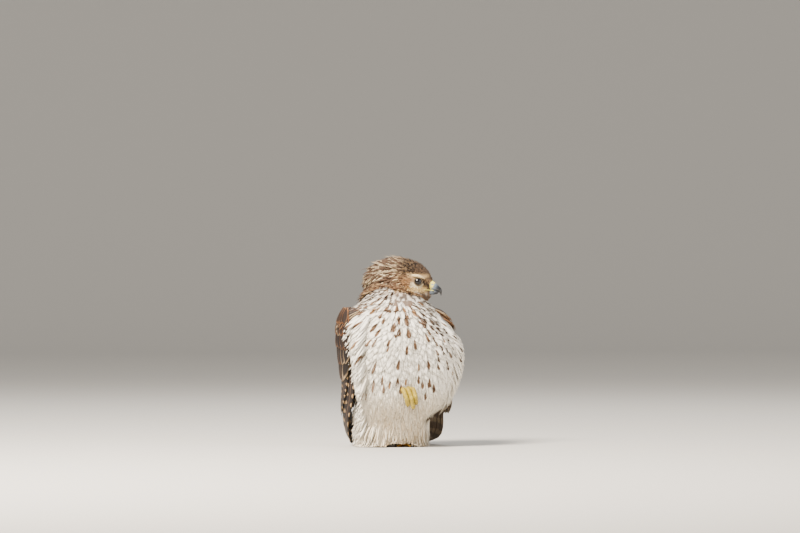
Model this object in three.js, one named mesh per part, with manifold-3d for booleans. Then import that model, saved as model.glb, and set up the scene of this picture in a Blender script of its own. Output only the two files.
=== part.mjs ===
// A young hawk at life size, fluffed up and standing on its left leg with the right foot drawn into its belly.
// Millimetres, +Z up. The origin is the centre of the standing foot's sole. The bird faces -Y and its left side is +X.
import * as THREE from "three";
import { mergeVertices } from "three/addons/utils/BufferGeometryUtils.js";
import Module from "manifold-3d";

const wasm = await Module();
wasm.setup();

// Driving sizes
const GAP = 0.3; // between pieces that touch
const DEG = Math.PI / 180;
const LEFT = 1;
const RIGHT = -1;

const vec = (x, y, z) => new THREE.Vector3(x, y, z);
const mix = (a, b, t) => a + (b - a) * t;
const ease = (a, b, x) => THREE.MathUtils.smoothstep(x, a, b);

// A smooth curve through rows of numbers: the first of each row is the place along it, the rest are what it gives there.
function through(rows) {
  const last = rows.length - 1;
  const slope = (i, k) => {
    const a = rows[Math.max(i - 1, 0)];
    const b = rows[Math.min(i + 1, last)];
    return (b[k] - a[k]) / (b[0] - a[0]);
  };
  return (place) => {
    const s = THREE.MathUtils.clamp(place, rows[0][0], rows[last][0]);
    let i = 0;
    while (i < last - 1 && rows[i + 1][0] < s) i++;
    const span = rows[i + 1][0] - rows[i][0];
    const t = (s - rows[i][0]) / span;
    return rows[i].slice(1).map((from, column) => {
      const k = column + 1;
      const to = rows[i + 1][k];
      const rise = (2 * t - 3) * t * t;
      return (
        from * (rise + 1) -
        to * rise +
        span * (slope(i, k) * t * (t - 1) * (t - 1) + slope(i + 1, k) * t * t * (t - 1))
      );
    });
  };
}

// Solids

function toSolid(geometry) {
  const bare = new THREE.BufferGeometry();
  bare.setAttribute("position", geometry.getAttribute("position"));
  bare.setIndex(geometry.index);
  const merged = mergeVertices(bare, 1e-4);
  const vertProperties = new Float32Array(merged.attributes.position.array);
  const triVerts = new Uint32Array(merged.index.array);
  const at = (i) => vec(...vertProperties.subarray(i * 3, i * 3 + 3));
  let volume = 0;
  for (let i = 0; i < triVerts.length; i += 3)
    volume += at(triVerts[i]).dot(at(triVerts[i + 1]).cross(at(triVerts[i + 2])));
  if (volume < 0)
    for (let i = 0; i < triVerts.length; i += 3)
      [triVerts[i + 1], triVerts[i + 2]] = [triVerts[i + 2], triVerts[i + 1]];
  return new wasm.Manifold(new wasm.Mesh({ numProp: 3, vertProperties, triVerts }));
}

function geometryOf(points, faces) {
  const geometry = new THREE.BufferGeometry().setFromPoints(points);
  geometry.setIndex(faces.flat());
  return geometry;
}

// A closed body through rings of points, with a fan over each end.
function loft(rings) {
  const n = rings[0].length;
  const points = rings.flat();
  const faces = [];
  for (let i = 0; i < rings.length - 1; i++)
    for (let j = 0; j < n; j++) {
      const k = (j + 1) % n;
      const [a, b, c, d] = [i * n + j, i * n + k, (i + 1) * n + k, (i + 1) * n + j];
      faces.push([a, b, c], [a, c, d]);
    }
  for (const [start, flip] of [
    [0, true],
    [(rings.length - 1) * n, false],
  ]) {
    const middle = points.length;
    const sum = vec(0, 0, 0);
    for (let j = 0; j < n; j++) sum.add(points[start + j]);
    points.push(sum.divideScalar(n));
    for (let j = 0; j < n; j++) {
      const k = (j + 1) % n;
      faces.push(flip ? [middle, start + k, start + j] : [middle, start + j, start + k]);
    }
  }
  return toSolid(geometryOf(points, faces));
}

const steps = (count) => Array.from({ length: count + 1 }, (_, i) => i / count);

// A ring of points round an axis, by angle.
const ring = (count, pointAt) =>
  Array.from({ length: count }, (_, j) => pointAt((j / count) * 2 * Math.PI));

// A body of changing round section along a curve: radius(t) gives [across, up] half sizes.
function tube(curve, radius, { rows = 10, sides = 12, up = vec(0, 0, 1) } = {}) {
  return loft(
    steps(rows).map((t) => {
      const centre = curve.getPoint(t);
      const along = curve.getTangent(t);
      const side = along.clone().cross(up).normalize();
      const top = side.clone().cross(along).normalize();
      const [wide, high] = radius(t);
      return ring(sides, (a) =>
        centre
          .clone()
          .addScaledVector(side, wide * Math.cos(a))
          .addScaledVector(top, high * Math.sin(a)),
      );
    }),
  );
}

function ball(centre, [rx, ry, rz], detail = 16) {
  const geometry = new THREE.SphereGeometry(1, detail, Math.round(detail * 0.6));
  geometry.scale(rx, ry, rz).translate(...centre.toArray());
  return toSolid(geometry);
}

function box([wide, deep, high], centre) {
  return toSolid(new THREE.BoxGeometry(wide, deep, high).translate(...centre.toArray()));
}

const union = (solids) => wasm.Manifold.union(solids);
const placed = (solid, matrix) => solid.transform(matrix.elements);

// Only the largest closed surface of a solid is kept.
const largest = (solid) =>
  solid.decompose().reduce((best, piece) => (piece.volume() > best.volume() ? piece : best));

// Torso: an upright egg of fluffed feathers, wider over the flanks, that narrows to the hem of the belly

const TORSO = through([
  // height, centre x, half width, front, back
  [10, -15, 59, 46, 38],
  [30, -15, 62, 58, 50],
  [60, -13, 67, 72, 63],
  [95, -9, 79, 83, 72],
  [130, -7, 88, 90, 78],
  [165, -9, 90, 92, 79],
  [195, -12, 86, 88, 75],
  [220, -15, 76, 76, 67],
  [238, -15, 62, 61, 54],
  [250, -14, 50, 50, 46],
]);
const TORSO_FOOT = 10;
const TORSO_TOP = 238;
const WING_FRONT = { [LEFT]: -12, [RIGHT]: -24 }; // degrees from square to the side; less is further forward
const FLANK_RISE = { [LEFT]: 16, [RIGHT]: 13 }; // flank feathers stand this far over the wing's front edge

// Under a folded wing the body lies close to the quills: rows of height and how far it stands out there.
const WING_BED = {
  [LEFT]: through([
    [10, 0],
    [50, -6],
    [76, -8],
    [92, -5],
    [129, -4],
    [146, -4.5],
    [157, -1],
    [180, 1.5],
    [205, 4.5],
    [222, 4],
    [238, 0],
  ]),
  [RIGHT]: through([
    [10, 0],
    [50, -4],
    [76, -8],
    [92, -5],
    [129, -2],
    [146, -1],
    [157, 1.5],
    [180, 4.5],
    [205, 6.5],
    [222, 5],
    [238, 0],
  ]),
};

// How far the body stands out at an angle from square to that side: flank feathers swell beside the wing's bed.
function flank(side, degrees, height) {
  const edge = WING_FRONT[side];
  const under = ease(edge - 6, edge + 1, degrees) * (1 - ease(57, 70, degrees));
  const round = ease(edge - 75, edge - 28, degrees) * (1 - ease(edge - 9, edge + 1, degrees));
  const [bed] = WING_BED[side](height);
  return bed * under + FLANK_RISE[side] * round * ease(42, 76, height) * (1 - ease(165, 215, height));
}

function torsoPoint(angle, height, out = 0) {
  const [x, half, front, back] = TORSO(height);
  const c = Math.cos(angle);
  const s = Math.sin(angle);
  const side = c > 0 ? LEFT : RIGHT;
  const degrees = Math.atan2(s, Math.abs(c)) / DEG;
  const grow = out + flank(side, degrees, height);
  return vec(x + (half + grow) * c, ((s > 0 ? back : front) + grow) * s, height);
}

// Even steps round the body, with closer ones where the flank feathers end over a wing.
const TORSO_ANGLES = [
  ...Array.from({ length: 28 }, (_, j) => (j * 360) / 28),
  ...[-13, -6, 0, 5].flatMap((d) => [WING_FRONT[LEFT] + d + 360, 180 - (WING_FRONT[RIGHT] + d)]),
]
  .map((degrees) => (degrees % 360) * DEG)
  .sort((a, b) => a - b);

function torsoBody(out = 0, rows = 14) {
  return loft(
    steps(rows).map((t) =>
      TORSO_ANGLES.map((a) => torsoPoint(a, mix(TORSO_FOOT - out, TORSO_TOP + out, t), out)),
    ),
  );
}

// Locks: flat, tapered tufts of long loose feathers, rooted in the body they grow from

// A lock runs through three points, root, bend and tip; facing is the way its broad side looks.
function lock([root, bend, tip], width, facing, rows = 2) {
  const line = new THREE.CatmullRomCurve3([root, bend, tip]);
  return loft(
    steps(rows).map((t) => {
      const at = line.getPoint(t);
      const along = line.getTangent(t);
      const across = along.clone().cross(facing).normalize();
      const over = across.clone().cross(along).normalize();
      const half = (width / 2) * (1 - 0.86 * t ** 1.5);
      const deep = mix(1.5, 0.35, t);
      return [
        at.clone().addScaledVector(across, half),
        at.clone().addScaledVector(over, deep),
        at.clone().addScaledVector(across, -half),
        at.clone().addScaledVector(over, -deep),
      ];
    }),
  );
}

// A steady, uneven number between -1 and 1 for a lock's place in its row.
const uneven = (i, seed) => Math.sin(i * 12.9898 + seed * 4.1414) * Math.cos(i * 4.37 + seed);

// Locks that hang on the torso between two angles, from one height to another, standing out at their tips.
function hangingLocks({ count, angles: [from, to], root, foot, out, width, seed }) {
  return steps(count - 1).map((f, i) => {
    const angle = mix(from, to, f) * DEG;
    const sway = angle + 0.06 * uneven(i, seed);
    const tipHeight = foot + 5 * uneven(i, seed + 2);
    const facing = vec(Math.cos(angle), Math.sin(angle), 0);
    const bend = torsoPoint(sway, mix(root, tipHeight, 0.5), Math.max(1.4, out * 0.3));
    const tip = torsoPoint(sway, Math.max(tipHeight, TORSO_FOOT), out).setZ(tipHeight);
    return lock([torsoPoint(angle, root, -2.5), bend, tip], width * (1 + 0.2 * uneven(i, seed + 5)), facing);
  });
}

const torsoLocks = () => [
  ...hangingLocks({ count: 12, angles: [4, 356], root: 30, foot: 8.5, out: 3, width: 25, seed: 1 }),
  ...hangingLocks({ count: 3, angles: [318, 346], root: 90, foot: 60, out: 20, width: 20, seed: 3 }),
  ...hangingLocks({ count: 3, angles: [202, 222], root: 84, foot: 60, out: 8, width: 16, seed: 4 }),
];

// Wings: every tier lies on a shell that wraps the side of the torso and flares back over the floor at its foot

const WING = through([
  // height, centre x, half width, front, back
  [6, 5, 84, 48, 150],
  [12, 5, 88, 52, 128],
  [22, 3, 92, 58, 108],
  [40, -1, 94, 66, 96],
  [60, -4, 93, 76, 88],
  [90, -6, 90, 86, 80],
  [120, -8, 89, 92, 74],
  [150, -9.5, 89.5, 95, 71],
  [180, -13, 87.5, 93, 69],
  [205, -16, 81, 84, 65],
  [225, -17, 70.5, 72, 58],
  [240, -17, 57, 58, 50],
]);

function wingPoint(side, degrees, height, out = 0) {
  const [x, half, front, back] = WING(height);
  const s = Math.sin(degrees * DEG);
  const c = Math.cos(degrees * DEG);
  return vec(x + side * (half + out) * c, ((s > 0 ? back : front) + out) * s, height);
}

// A shell's point, outward normal and the directions of its two coordinates, in degrees and in height.
function frameOn(shell, degrees, height) {
  const at = shell(degrees, height);
  const turn = shell(degrees + 0.5, height).sub(at).multiplyScalar(2);
  const climb = shell(degrees, height + 0.5).sub(at).multiplyScalar(2);
  const normal = turn.clone().cross(climb).normalize();
  if (normal.dot(shell(degrees, height, 1).sub(at)) < 0) normal.negate();
  return { at, turn, climb, normal };
}

const VANE_THICK = 0.65;

// The width of a feather along its length: narrow at the root, full by a third, rounded off at the tip.
const outline = (t, blunt) => (0.6 + 0.4 * ease(0, 0.3, t)) * (1 - (1 - blunt) * ease(0.78, 1, t) ** 1.6);

// The faces of a thin strip of four points a row: both broad faces are split the same way.
function stripFaces(rows) {
  const faces = [];
  for (let i = 0; i < rows; i++) {
    const [a, b] = [i * 4, i * 4 + 4];
    faces.push([a, a + 1, b + 1], [a, b + 1, b]);
    faces.push([a + 3, b + 2, a + 2], [a + 3, b + 3, b + 2]);
    faces.push([a + 1, a + 2, b + 2], [a + 1, b + 2, b + 1]);
    faces.push([a + 3, a, b], [a + 3, b, b + 3]);
  }
  const last = rows * 4;
  faces.push([0, 2, 1], [0, 3, 2], [last, last + 1, last + 2], [last, last + 2, last + 3]);
  return faces;
}

// One feather: a thin strip that follows a path of [degrees, height] on a shell, at a level over it. Its tilt, in
// level per millimetre across, lifts one edge over the feather before it.
function vane(shell, { path, rows, width, level, tilt, blunt = 0.3 }) {
  const rings = steps(rows).map((t) => {
    const [degrees, height] = path(t);
    const [nextDegrees, nextHeight] = path(t + 0.01);
    const { at, turn, climb, normal } = frameOn(shell, degrees, height);
    const along = turn
      .clone()
      .multiplyScalar(nextDegrees - degrees)
      .addScaledVector(climb, nextHeight - height);
    const across = normal.clone().cross(along).normalize();
    if (across.dot(turn) < 0) across.negate(); // across runs from the wing's front to its back
    const half = (width * outline(t, blunt)) / 2;
    const edge = (u, offset) => {
      const step = across.clone().multiplyScalar(u * half);
      const point = frameOn(
        shell,
        degrees + step.dot(turn) / turn.lengthSq(),
        height + (step.dot(climb) / climb.lengthSq()) * 0.999,
      );
      return point.at.addScaledVector(point.normal, level(t) - tilt(t) * u * half + offset);
    };
    return { edge, at, normal };
  });
  const top = VANE_THICK / 2;
  const points = rings.flatMap(({ edge }) => [edge(-1, top), edge(1, top), edge(1, -top), edge(-1, -top)]);
  return toSolid(geometryOf(points, stripFaces(rows)));
}


// A tier of feathers between a front line and a back line, each a function that gives [degrees, height] at a share
// of the length. reach gives each feather's own length as a share, and lap its level over the one before it. A rib
// joins them at their roots, and reaches in by deep to what it grows from.
function tier(shell, { count, front, back, reach, rows, width, level, lap, blunt, deep }) {
  const on = (f, t) => {
    const [fa, fz] = front(t);
    const [ba, bz] = back(t);
    return [mix(fa, ba, f), mix(fz, bz, f)];
  };
  const feathers = steps(count - 1).map((f) => {
    const end = reach(f);
    const path = (t) => on(f, t * end);
    const [before, after] = [Math.max(f - 0.5 / count, 0), Math.min(f + 0.5 / count, 1)];
    const spacing = (t) =>
      shell(...on(after, t * end)).distanceTo(shell(...on(before, t * end))) / ((after - before) * (count - 1));
    return vane(shell, { path, rows, width, level, blunt, tilt: (t) => lap / Math.max(spacing(t), 2) });
  });
  const rib = loft(
    steps(5).map((f) => {
      const high = frameOn(shell, ...on(mix(-0.03, 1.03, f), -0.04));
      const low = frameOn(shell, ...on(mix(-0.03, 1.03, f), 0.05));
      const spot = ({ at, normal }, lift) => at.clone().addScaledVector(normal, lift);
      return [
        spot(high, level(0) + 0.9),
        spot(high, level(0) - deep),
        spot(low, level(0) - deep),
        spot(low, level(0) + 0.9),
      ];
    }),
  );
  return union([rib, ...feathers]);
}

// The edges of each tier, from its top to its tips, as rows of share, degrees, height.
const PRIMARY_FRONT = {
  [LEFT]: through([
    [0, -8, 196],
    [0.25, 4, 140],
    [0.45, 16, 96],
    [0.62, 29, 62],
    [0.75, 33, 36],
    [0.88, 37, 17],
    [1, 44, 9.5],
  ]),
  [RIGHT]: through([
    [0, -20, 196],
    [0.25, -18, 140],
    [0.45, -14, 96],
    [0.62, -8, 62],
    [0.75, 4, 36],
    [0.88, 22, 18],
    [1, 41, 9.5],
  ]),
};
const PRIMARY_BACK = {
  [LEFT]: through([
    [0, 30, 168],
    [0.3, 42, 122],
    [0.6, 56, 62],
    [0.8, 60, 28],
    [1, 63, 9.5],
  ]),
  [RIGHT]: through([
    [0, 16, 168],
    [0.3, 24, 122],
    [0.6, 42, 62],
    [0.8, 54, 28],
    [1, 62, 9.5],
  ]),
};
const SECONDARY_FRONT = {
  [LEFT]: through([
    [0, 0, 156],
    [0.4, 6, 112],
    [0.75, 16, 72],
    [1, 24, 46],
  ]),
  [RIGHT]: through([
    [0, -12, 156],
    [0.4, -6, 112],
    [0.75, 8, 72],
    [1, 22, 44],
  ]),
};
const SECONDARY_BACK = through([
  [0, 60, 162],
  [0.4, 66, 128],
  [0.75, 66, 92],
  [1, 63, 62],
]);
const COVERT_FRONT = {
  [LEFT]: through([
    [0, -2, 214],
    [0.3, -11, 192],
    [0.7, -10, 150],
    [1, 2, 112],
  ]),
  [RIGHT]: through([
    [0, -14, 224],
    [0.3, -23, 198],
    [0.7, -22, 150],
    [1, -10, 112],
  ]),
};
const COVERT_BACK = through([
  [0, 52, 226],
  [0.5, 58, 176],
  [1, 58, 120],
]);

// Each tier's level over the shell at its roots and at its tips
const LEVEL = {
  primaries: [2.6, 5.4],
  secondaries: [6.4, 7.8],
  greater_coverts: [9.9, 10.4],
  median_coverts: [13.4, 13.8],
  lesser_coverts: [17.3, 17.7],
};

// An edge moved sideways by some degrees, of which only the stretch between two shares is used.
const stretch = (edge, degrees, [low, high]) => (t) => {
  const [a, z] = edge(mix(low, high, t));
  return [a + degrees, z];
};

const trimmed = (solid, ...cutters) => largest(cutters.reduce((s, cutter) => s.subtract(cutter), solid));

const TIERS = {
  primaries: {
    count: 5,
    edges: [PRIMARY_FRONT, PRIMARY_BACK],
    inset: [5, -4],
    span: [0.27, 1],
    reach: (f) => 0.95 + 0.05 * Math.sin(Math.PI * Math.min(1, f * 1.6 + 0.1)) - 0.1 * ease(0.5, 1, f),
    rows: 5,
    width: 19,
    lap: 1.2,
    blunt: 0.35,
    deep: 16,
  },
  secondaries: {
    count: 6,
    edges: [SECONDARY_FRONT, SECONDARY_BACK],
    inset: [6, -6],
    span: [0, 1],
    reach: (f) => 0.94 + 0.06 * Math.sin(Math.PI * f),
    rows: 4,
    width: 24,
    lap: 1.25,
    blunt: 0.6,
    deep: 20,
  },
  greater_coverts: {
    count: 6,
    edges: [COVERT_FRONT, COVERT_BACK],
    inset: [6, -6],
    span: [0.42, 1],
    reach: (f) => 0.95 + 0.05 * Math.sin(Math.PI * f * 2.4 + 1),
    rows: 3,
    width: 23.5,
    lap: 1.25,
    blunt: 0.5,
    deep: 22,
  },
  median_coverts: {
    count: 5,
    edges: [COVERT_FRONT, COVERT_BACK],
    inset: [6, -6],
    span: [0.22, 0.68],
    reach: (f) => 0.94 + 0.06 * Math.sin(Math.PI * f * 2.8),
    rows: 3,
    width: 26,
    lap: 1.25,
    blunt: 0.5,
    deep: 24,
  },
  lesser_coverts: {
    count: 4,
    edges: [COVERT_FRONT, COVERT_BACK],
    inset: [6, -6],
    span: [0, 0.4],
    reach: (f) => 0.94 + 0.06 * Math.sin(Math.PI * f * 2 + 2),
    rows: 3,
    width: 29,
    lap: 1.25,
    blunt: 0.5,
    deep: 26,
  },
};

function wingTier(side, name) {
  const { edges, inset, span, ...rest } = TIERS[name];
  const [front, back] = edges.map((edge, i) => stretch(edge[side] ?? edge, inset[i], span));
  const [atRoot, atTip] = LEVEL[name];
  const level = (t) => mix(atRoot, atTip, ease(0.4, 1, t));
  return tier((a, z, out) => wingPoint(side, a, z, out), { ...rest, front, back, level });
}

// Tail: it leans back from under the wings and its last part lies flat on the floor

const TAIL_LINE = new THREE.CatmullRomCurve3([
  vec(-6, 50, 92),
  vec(-4, 80, 66),
  vec(-2, 110, 40),
  vec(0, 140, 18),
  vec(1, 168, 5),
  vec(2, 190, 1.6),
  vec(3, 214, 1.6),
]);
const TAIL_LEVEL = 1.05; // between one tail feather and the one it lies on
const TAIL_COUNT = 6; // on each side; the outermost is the lowest
const TAIL_WIDTH = 20;
const TAIL_SPREAD = 5.4; // between the middles of neighbouring feathers at their tips

// A point on the tail: across in millimetres, share of its length, level over its under side.
function tailPoint(across, share, level) {
  const t = Math.min(share, 1);
  const along = TAIL_LINE.getTangent(t);
  const up = vec(1, 0, 0).cross(along).normalize();
  const point = TAIL_LINE.getPoint(t).addScaledVector(up, level - 1.6).add(vec(across, 0, 0));
  return point.setZ(Math.max(point.z, level < 0.1 ? 0 : 0.3));
}

function strip(rows, edgeAt) {
  const points = steps(rows).flatMap((t) => [
    edgeAt(-1, t, VANE_THICK),
    edgeAt(1, t, VANE_THICK),
    edgeAt(1, t, 0),
    edgeAt(-1, t, 0),
  ]);
  return toSolid(geometryOf(points, stripFaces(rows)));
}

function tailFeather(side, order, rows = 6) {
  const top = order === TAIL_COUNT - 1;
  const level = (order + (top && side === RIGHT ? 1 : 0)) * TAIL_LEVEL;
  const offset = Math.max(TAIL_SPREAD * (TAIL_COUNT - 0.65 - order), top ? 0 : TAIL_WIDTH / 2 + 0.3);
  const reach = 1 - 0.035 * (1 - order / TAIL_COUNT) ** 2;
  return strip(rows, (u, t, thick) => {
    const middle = side * offset * mix(0.55, 1, t);
    const half = (TAIL_WIDTH / 2) * outline(t, 0.45) * mix(0.7, 1, t);
    const across = middle + u * half;
    const kept = top ? across : side * Math.max(side * across, 0.25);
    return tailPoint(kept, t * reach, level + thick);
  });
}

// Upper tail coverts lie over the roots of the tail feathers
function tailCovert(i) {
  const level = (TAIL_COUNT + 1) * TAIL_LEVEL + 0.4 + (2 - Math.abs(i)) * TAIL_LEVEL + (i > 0 ? 0.5 * TAIL_LEVEL : 0);
  const reach = 0.42 - 0.03 * Math.abs(i);
  return strip(3, (u, t, thick) =>
    tailPoint(i * 6.5 * mix(0.8, 1, t) + u * 8 * outline(t, 0.4), 0.02 + t * reach, level + thick),
  );
}

function tailBody() {
  const high = (TAIL_COUNT + 4) * TAIL_LEVEL;
  const root = loft(
    [0, 0.05, 0.1].map((t) => [
      tailPoint(-14, t, 0),
      tailPoint(14, t, 0),
      tailPoint(12, t, high),
      tailPoint(-12, t, high),
    ]),
  );
  const feathers = [LEFT, RIGHT].flatMap((side) =>
    Array.from({ length: TAIL_COUNT }, (_, order) => tailFeather(side, order)),
  );
  return union([root, ...feathers, ...[-2, -1, 0, 1, 2].map(tailCovert)]);
}

// Head: it is turned over the left shoulder; its own frame has +X to the bill, +Y to its left and +Z up

const HEAD_AT = vec(3, -2, 279);
const HEAD_TURN = -90 + 57; // degrees about +Z, from +X
const HEAD = new THREE.Matrix4()
  .makeTranslation(HEAD_AT)
  .multiply(new THREE.Matrix4().makeRotationZ(HEAD_TURN * DEG));

const SKULL = through([
  // place along the head, half width, top, bottom
  [-66, 15, 4, -24],
  [-62, 25, 12, -29],
  [-52, 34, 22.5, -33],
  [-38, 39, 32.5, -35],
  [-20, 40, 38.5, -36],
  [-4, 38, 38.5, -36],
  [10, 33.5, 35.5, -36],
  [22, 26.5, 31.5, -36],
  [32, 20, 25.5, -35],
  [40, 14.5, 18, -33],
  [45, 10.8, 10, -30],
  [49, 7.4, 1.5, -25],
]);
const SKULL_MIDDLE = -4; // the widest level of the head over its frame

function headPoint(x, angle, out = 0) {
  const [half, top, bottom] = SKULL(x);
  const s = Math.sin(angle);
  const c = Math.cos(angle);
  const high = s > 0 ? top - SKULL_MIDDLE : SKULL_MIDDLE - bottom;
  return vec(x, (half + out) * c, SKULL_MIDDLE + (high + out) * s);
}

function headBody(out = 0) {
  const places = [-66 - out, -62, -56, -47, -36, -24, -12, 0, 10, 18, 25, 31, 36, 40, 43.5, 46.5, 49 + out];
  return loft(places.map((x) => ring(18, (a) => headPoint(x, a, out))));
}

// Ruffled feathers of the crown and nape, in rows from the crown down to the nape
const CROWN_LOCKS = [
  // place along the head, angle of the middle, spread in degrees, count, length, how far the tips stand off
  [-6, 90, 40, 2, 17, 6],
  [-24, 90, 64, 3, 20, 7],
  [-42, 90, 104, 3, 20, 6],
  [-56, 90, 160, 4, 15, 5],
];

function crownLocks() {
  return CROWN_LOCKS.flatMap(([x, middle, spread, count, length, stand]) =>
    steps(count - 1).map((f, i) => {
      const angle = (middle + (f - 0.5) * spread) * DEG;
      const place = (along, out) => headPoint(Math.max(along, -66), angle, out).setX(along);
      const back = x - length * (1 + 0.12 * uneven(i, x));
      const shrink = Math.max(0, -60 - back) * 0.8;
      const facing = vec(0, Math.cos(angle), Math.sin(angle));
      return lock([place(x, -2), place(mix(x, back, 0.5), 2.2), place(back, stand - shrink)], 14, facing);
    }),
  );
}

// Eyes: nearly whole balls, each behind a ring of lids and under a brow
const EYE = { x: 28, y: 16.2, z: -2.4, radius: 8.2, opening: 6.4 };
const eyeAt = (side) => vec(EYE.x, side * EYE.y, EYE.z);
const EYE_TURN = 24; // degrees that each eye looks forward of square
const eyeLook = (side) => vec(Math.sin(EYE_TURN * DEG), side * Math.cos(EYE_TURN * DEG), 0.04).normalize();

function lids(side) {
  const ringed = new THREE.TorusGeometry(EYE.opening + 0.5, 1.5, 5, 14);
  const look = eyeLook(side);
  ringed.applyQuaternion(new THREE.Quaternion().setFromUnitVectors(vec(0, 0, 1), look));
  const at = eyeAt(side).addScaledVector(look, 5.2);
  return toSolid(ringed.translate(...at.toArray()));
}

function brow(side) {
  const line = new THREE.CatmullRomCurve3([
    vec(16, side * 24, 8),
    vec(24, side * 24.6, 8.6),
    vec(33, side * 20.5, 6.6),
    vec(41, side * 13.4, 2),
  ]);
  return tube(line, (t) => [mix(2.2, 1.8, t) + 2 * Math.sin(Math.PI * t), 1 + 1.6 * Math.sin(Math.PI * t)], {
    rows: 6,
    sides: 6,
  });
}

function headWithFace() {
  const whole = union([headBody(), ...crownLocks(), lids(LEFT), lids(RIGHT), brow(LEFT), brow(RIGHT)]);
  const socket = (side) => ball(eyeAt(side), Array(3).fill(EYE.radius + GAP), 14);
  return whole.subtract(socket(LEFT)).subtract(socket(RIGHT));
}

function eye(side) {
  return ball(eyeAt(side), Array(3).fill(EYE.radius), 14);
}

// Bill: a deep hooked upper half with a soft cere at its root, and a shorter lower half

const BILL_TOP = through([
  // place along the head, half width, top, bottom
  [44, 8.4, 2.5, -18.4],
  [50, 7.6, -1.6, -18.6],
  [54, 6.6, -3.6, -18.8],
  [58, 5.4, -6.6, -19.2],
  [61.5, 4.2, -10.4, -19.8],
  [64, 2.9, -15, -21.4],
  [65.2, 1.8, -19.2, -24],
]);
const CERE_END = 54.6;
const CERE_START = 46;

function billSection(x, half, top, bottom) {
  const middle = (top + bottom) / 2;
  const high = (top - bottom) / 2;
  return ring(14, (a) => {
    const s = Math.sin(a);
    const narrow = s > 0 ? 1 - 0.34 * s * s : 1; // the ridge is narrower than the cutting edges
    return vec(x, half * narrow * Math.cos(a), middle + high * Math.sign(s) * Math.abs(s) ** 0.9);
  });
}

function upperBill(from, to, grow = 0) {
  const rows = steps(7).map((t) => mix(from, to, t));
  return loft(
    rows.map((x) => {
      const [half, top, bottom] = BILL_TOP(x);
      return billSection(x, half + grow, top + grow, bottom - grow);
    }),
  );
}

function hook() {
  const line = new THREE.CatmullRomCurve3([
    vec(60.5, 0, -15.6),
    vec(63.2, 0, -19),
    vec(64, 0, -22.4),
    vec(63.5, 0, -26),
  ]);
  return tube(line, (t) => [mix(3.4, 0.4, t), mix(3.6, 0.5, t)], { rows: 5, sides: 8, up: vec(0, 1, 0) });
}

function nostril(side) {
  return ball(vec(51, side * 6.6, -7.4), [1.7, 2.2, 1.3], 8);
}

const LOWER = through([
  [43, 6.8, -15, -26],
  [50, 6, -15.4, -25.8],
  [56, 4.8, -16, -25],
  [60.4, 2.6, -17, -23.4],
]);

function lowerBill(grow = 0) {
  return loft(
    steps(6).map((t) => {
      const x = mix(44, 60.4 + grow, t);
      const [half, top, bottom] = LOWER(x);
      return ring(12, (a) => {
        const s = Math.sin(a);
        const high = (top - bottom) / 2 + grow;
        return vec(x, (half + grow) * Math.cos(a), (top + bottom) / 2 + high * s);
      });
    }),
  );
}

// Neck: drawn in, so it is a broad ruff from the shoulders to the nape

const NECK_TOP = 262;
const NECK = through([
  // height, centre x, half width, front, back
  [232, -15, 68, 66, 56],
  [238, -15, 62.5, 61, 54.5],
  [245, -14, 59, 56, 52],
  [253, -12.5, 56, 50, 49],
  [262, -12, 50, 42, 46],
  [276, -12, 44, 38, 42],
]);

function neckPoint(angle, height, out = 0) {
  const [x, half, front, back] = NECK(height);
  const s = Math.sin(angle);
  return vec(x + (half + out) * Math.cos(angle), ((s > 0 ? back : front) + out) * s, height);
}

function neckBody(from, to, out = 0) {
  return loft(steps(5).map((t) => ring(32, (a) => neckPoint(a, mix(from, to, t), out))));
}

// Legs and feet

const SHANK_FOOT = vec(0, 4, 5);
const SHANK_TOP = vec(6, 16, 66);
const SHANK_R = 4.6;
const SHANK_SPLIT = 10; // the level where the shank meets the foot

function shank() {
  const line = new THREE.CatmullRomCurve3([
    SHANK_FOOT,
    SHANK_FOOT.clone().lerp(SHANK_TOP, 0.5),
    SHANK_TOP,
  ]);
  return tube(line, (t) => [SHANK_R + 1.2 * (1 - ease(0, 0.25, t)), SHANK_R + 1.6 * (1 - ease(0, 0.25, t))], {
    rows: 6,
    sides: 10,
    up: vec(0, -1, 0),
  });
}

// A toe lies from the sole outwards, arched at each joint, over a pad that is flat on the floor.
const TOES = {
  // heading in degrees from straight ahead (+ is to the bird's left), length, joints, thickness, claw length
  inner: { heading: -34, length: 27, joints: 2, thick: 4.5, claw: 18, scutes: 5 },
  middle: { heading: 4, length: 36, joints: 3, thick: 4.3, claw: 16, scutes: 7 },
  outer: { heading: 36, length: 30, joints: 4, thick: 4, claw: 13, scutes: 6 },
  hind: { heading: 184, length: 21, joints: 1, thick: 4.6, claw: 19, scutes: 4 },
};

function toeFrame(heading) {
  return new THREE.Matrix4().makeRotationZ(heading * DEG);
}

// Each toe is ringed on top by overlapping scutes: a share of its length gives how far the skin stands up there.
const scute = (t, count) => 1 - ((t * count) % 1);

// Toe in its own frame: it runs along -Y from the sole.
function toeBody({ length, joints, thick, scutes }, grow = 0) {
  const rows = steps(scutes).flatMap((t) => (t < 1 ? [t, t + 0.86 / scutes] : [t]));
  return loft(
    rows.map((t) => {
      const y = -mix(1, length + grow, t);
      const arch = Math.abs(Math.sin(Math.PI * (t * joints + 0.5)));
      const half = thick * (0.82 + 0.2 * arch) * (1 - 0.24 * t) * (t > 0.96 ? 0.8 : 1) + grow;
      const high = half * 1.06;
      return ring(8, (a) => {
        const plate = Math.sin(a) > 0.2 ? 0.55 * scute(t, scutes) : 0;
        const z = high + (high + plate) * Math.sin(a) * 1.08;
        return vec(half * Math.cos(a), y, Math.max(z, 0));
      });
    }),
  );
}

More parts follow.
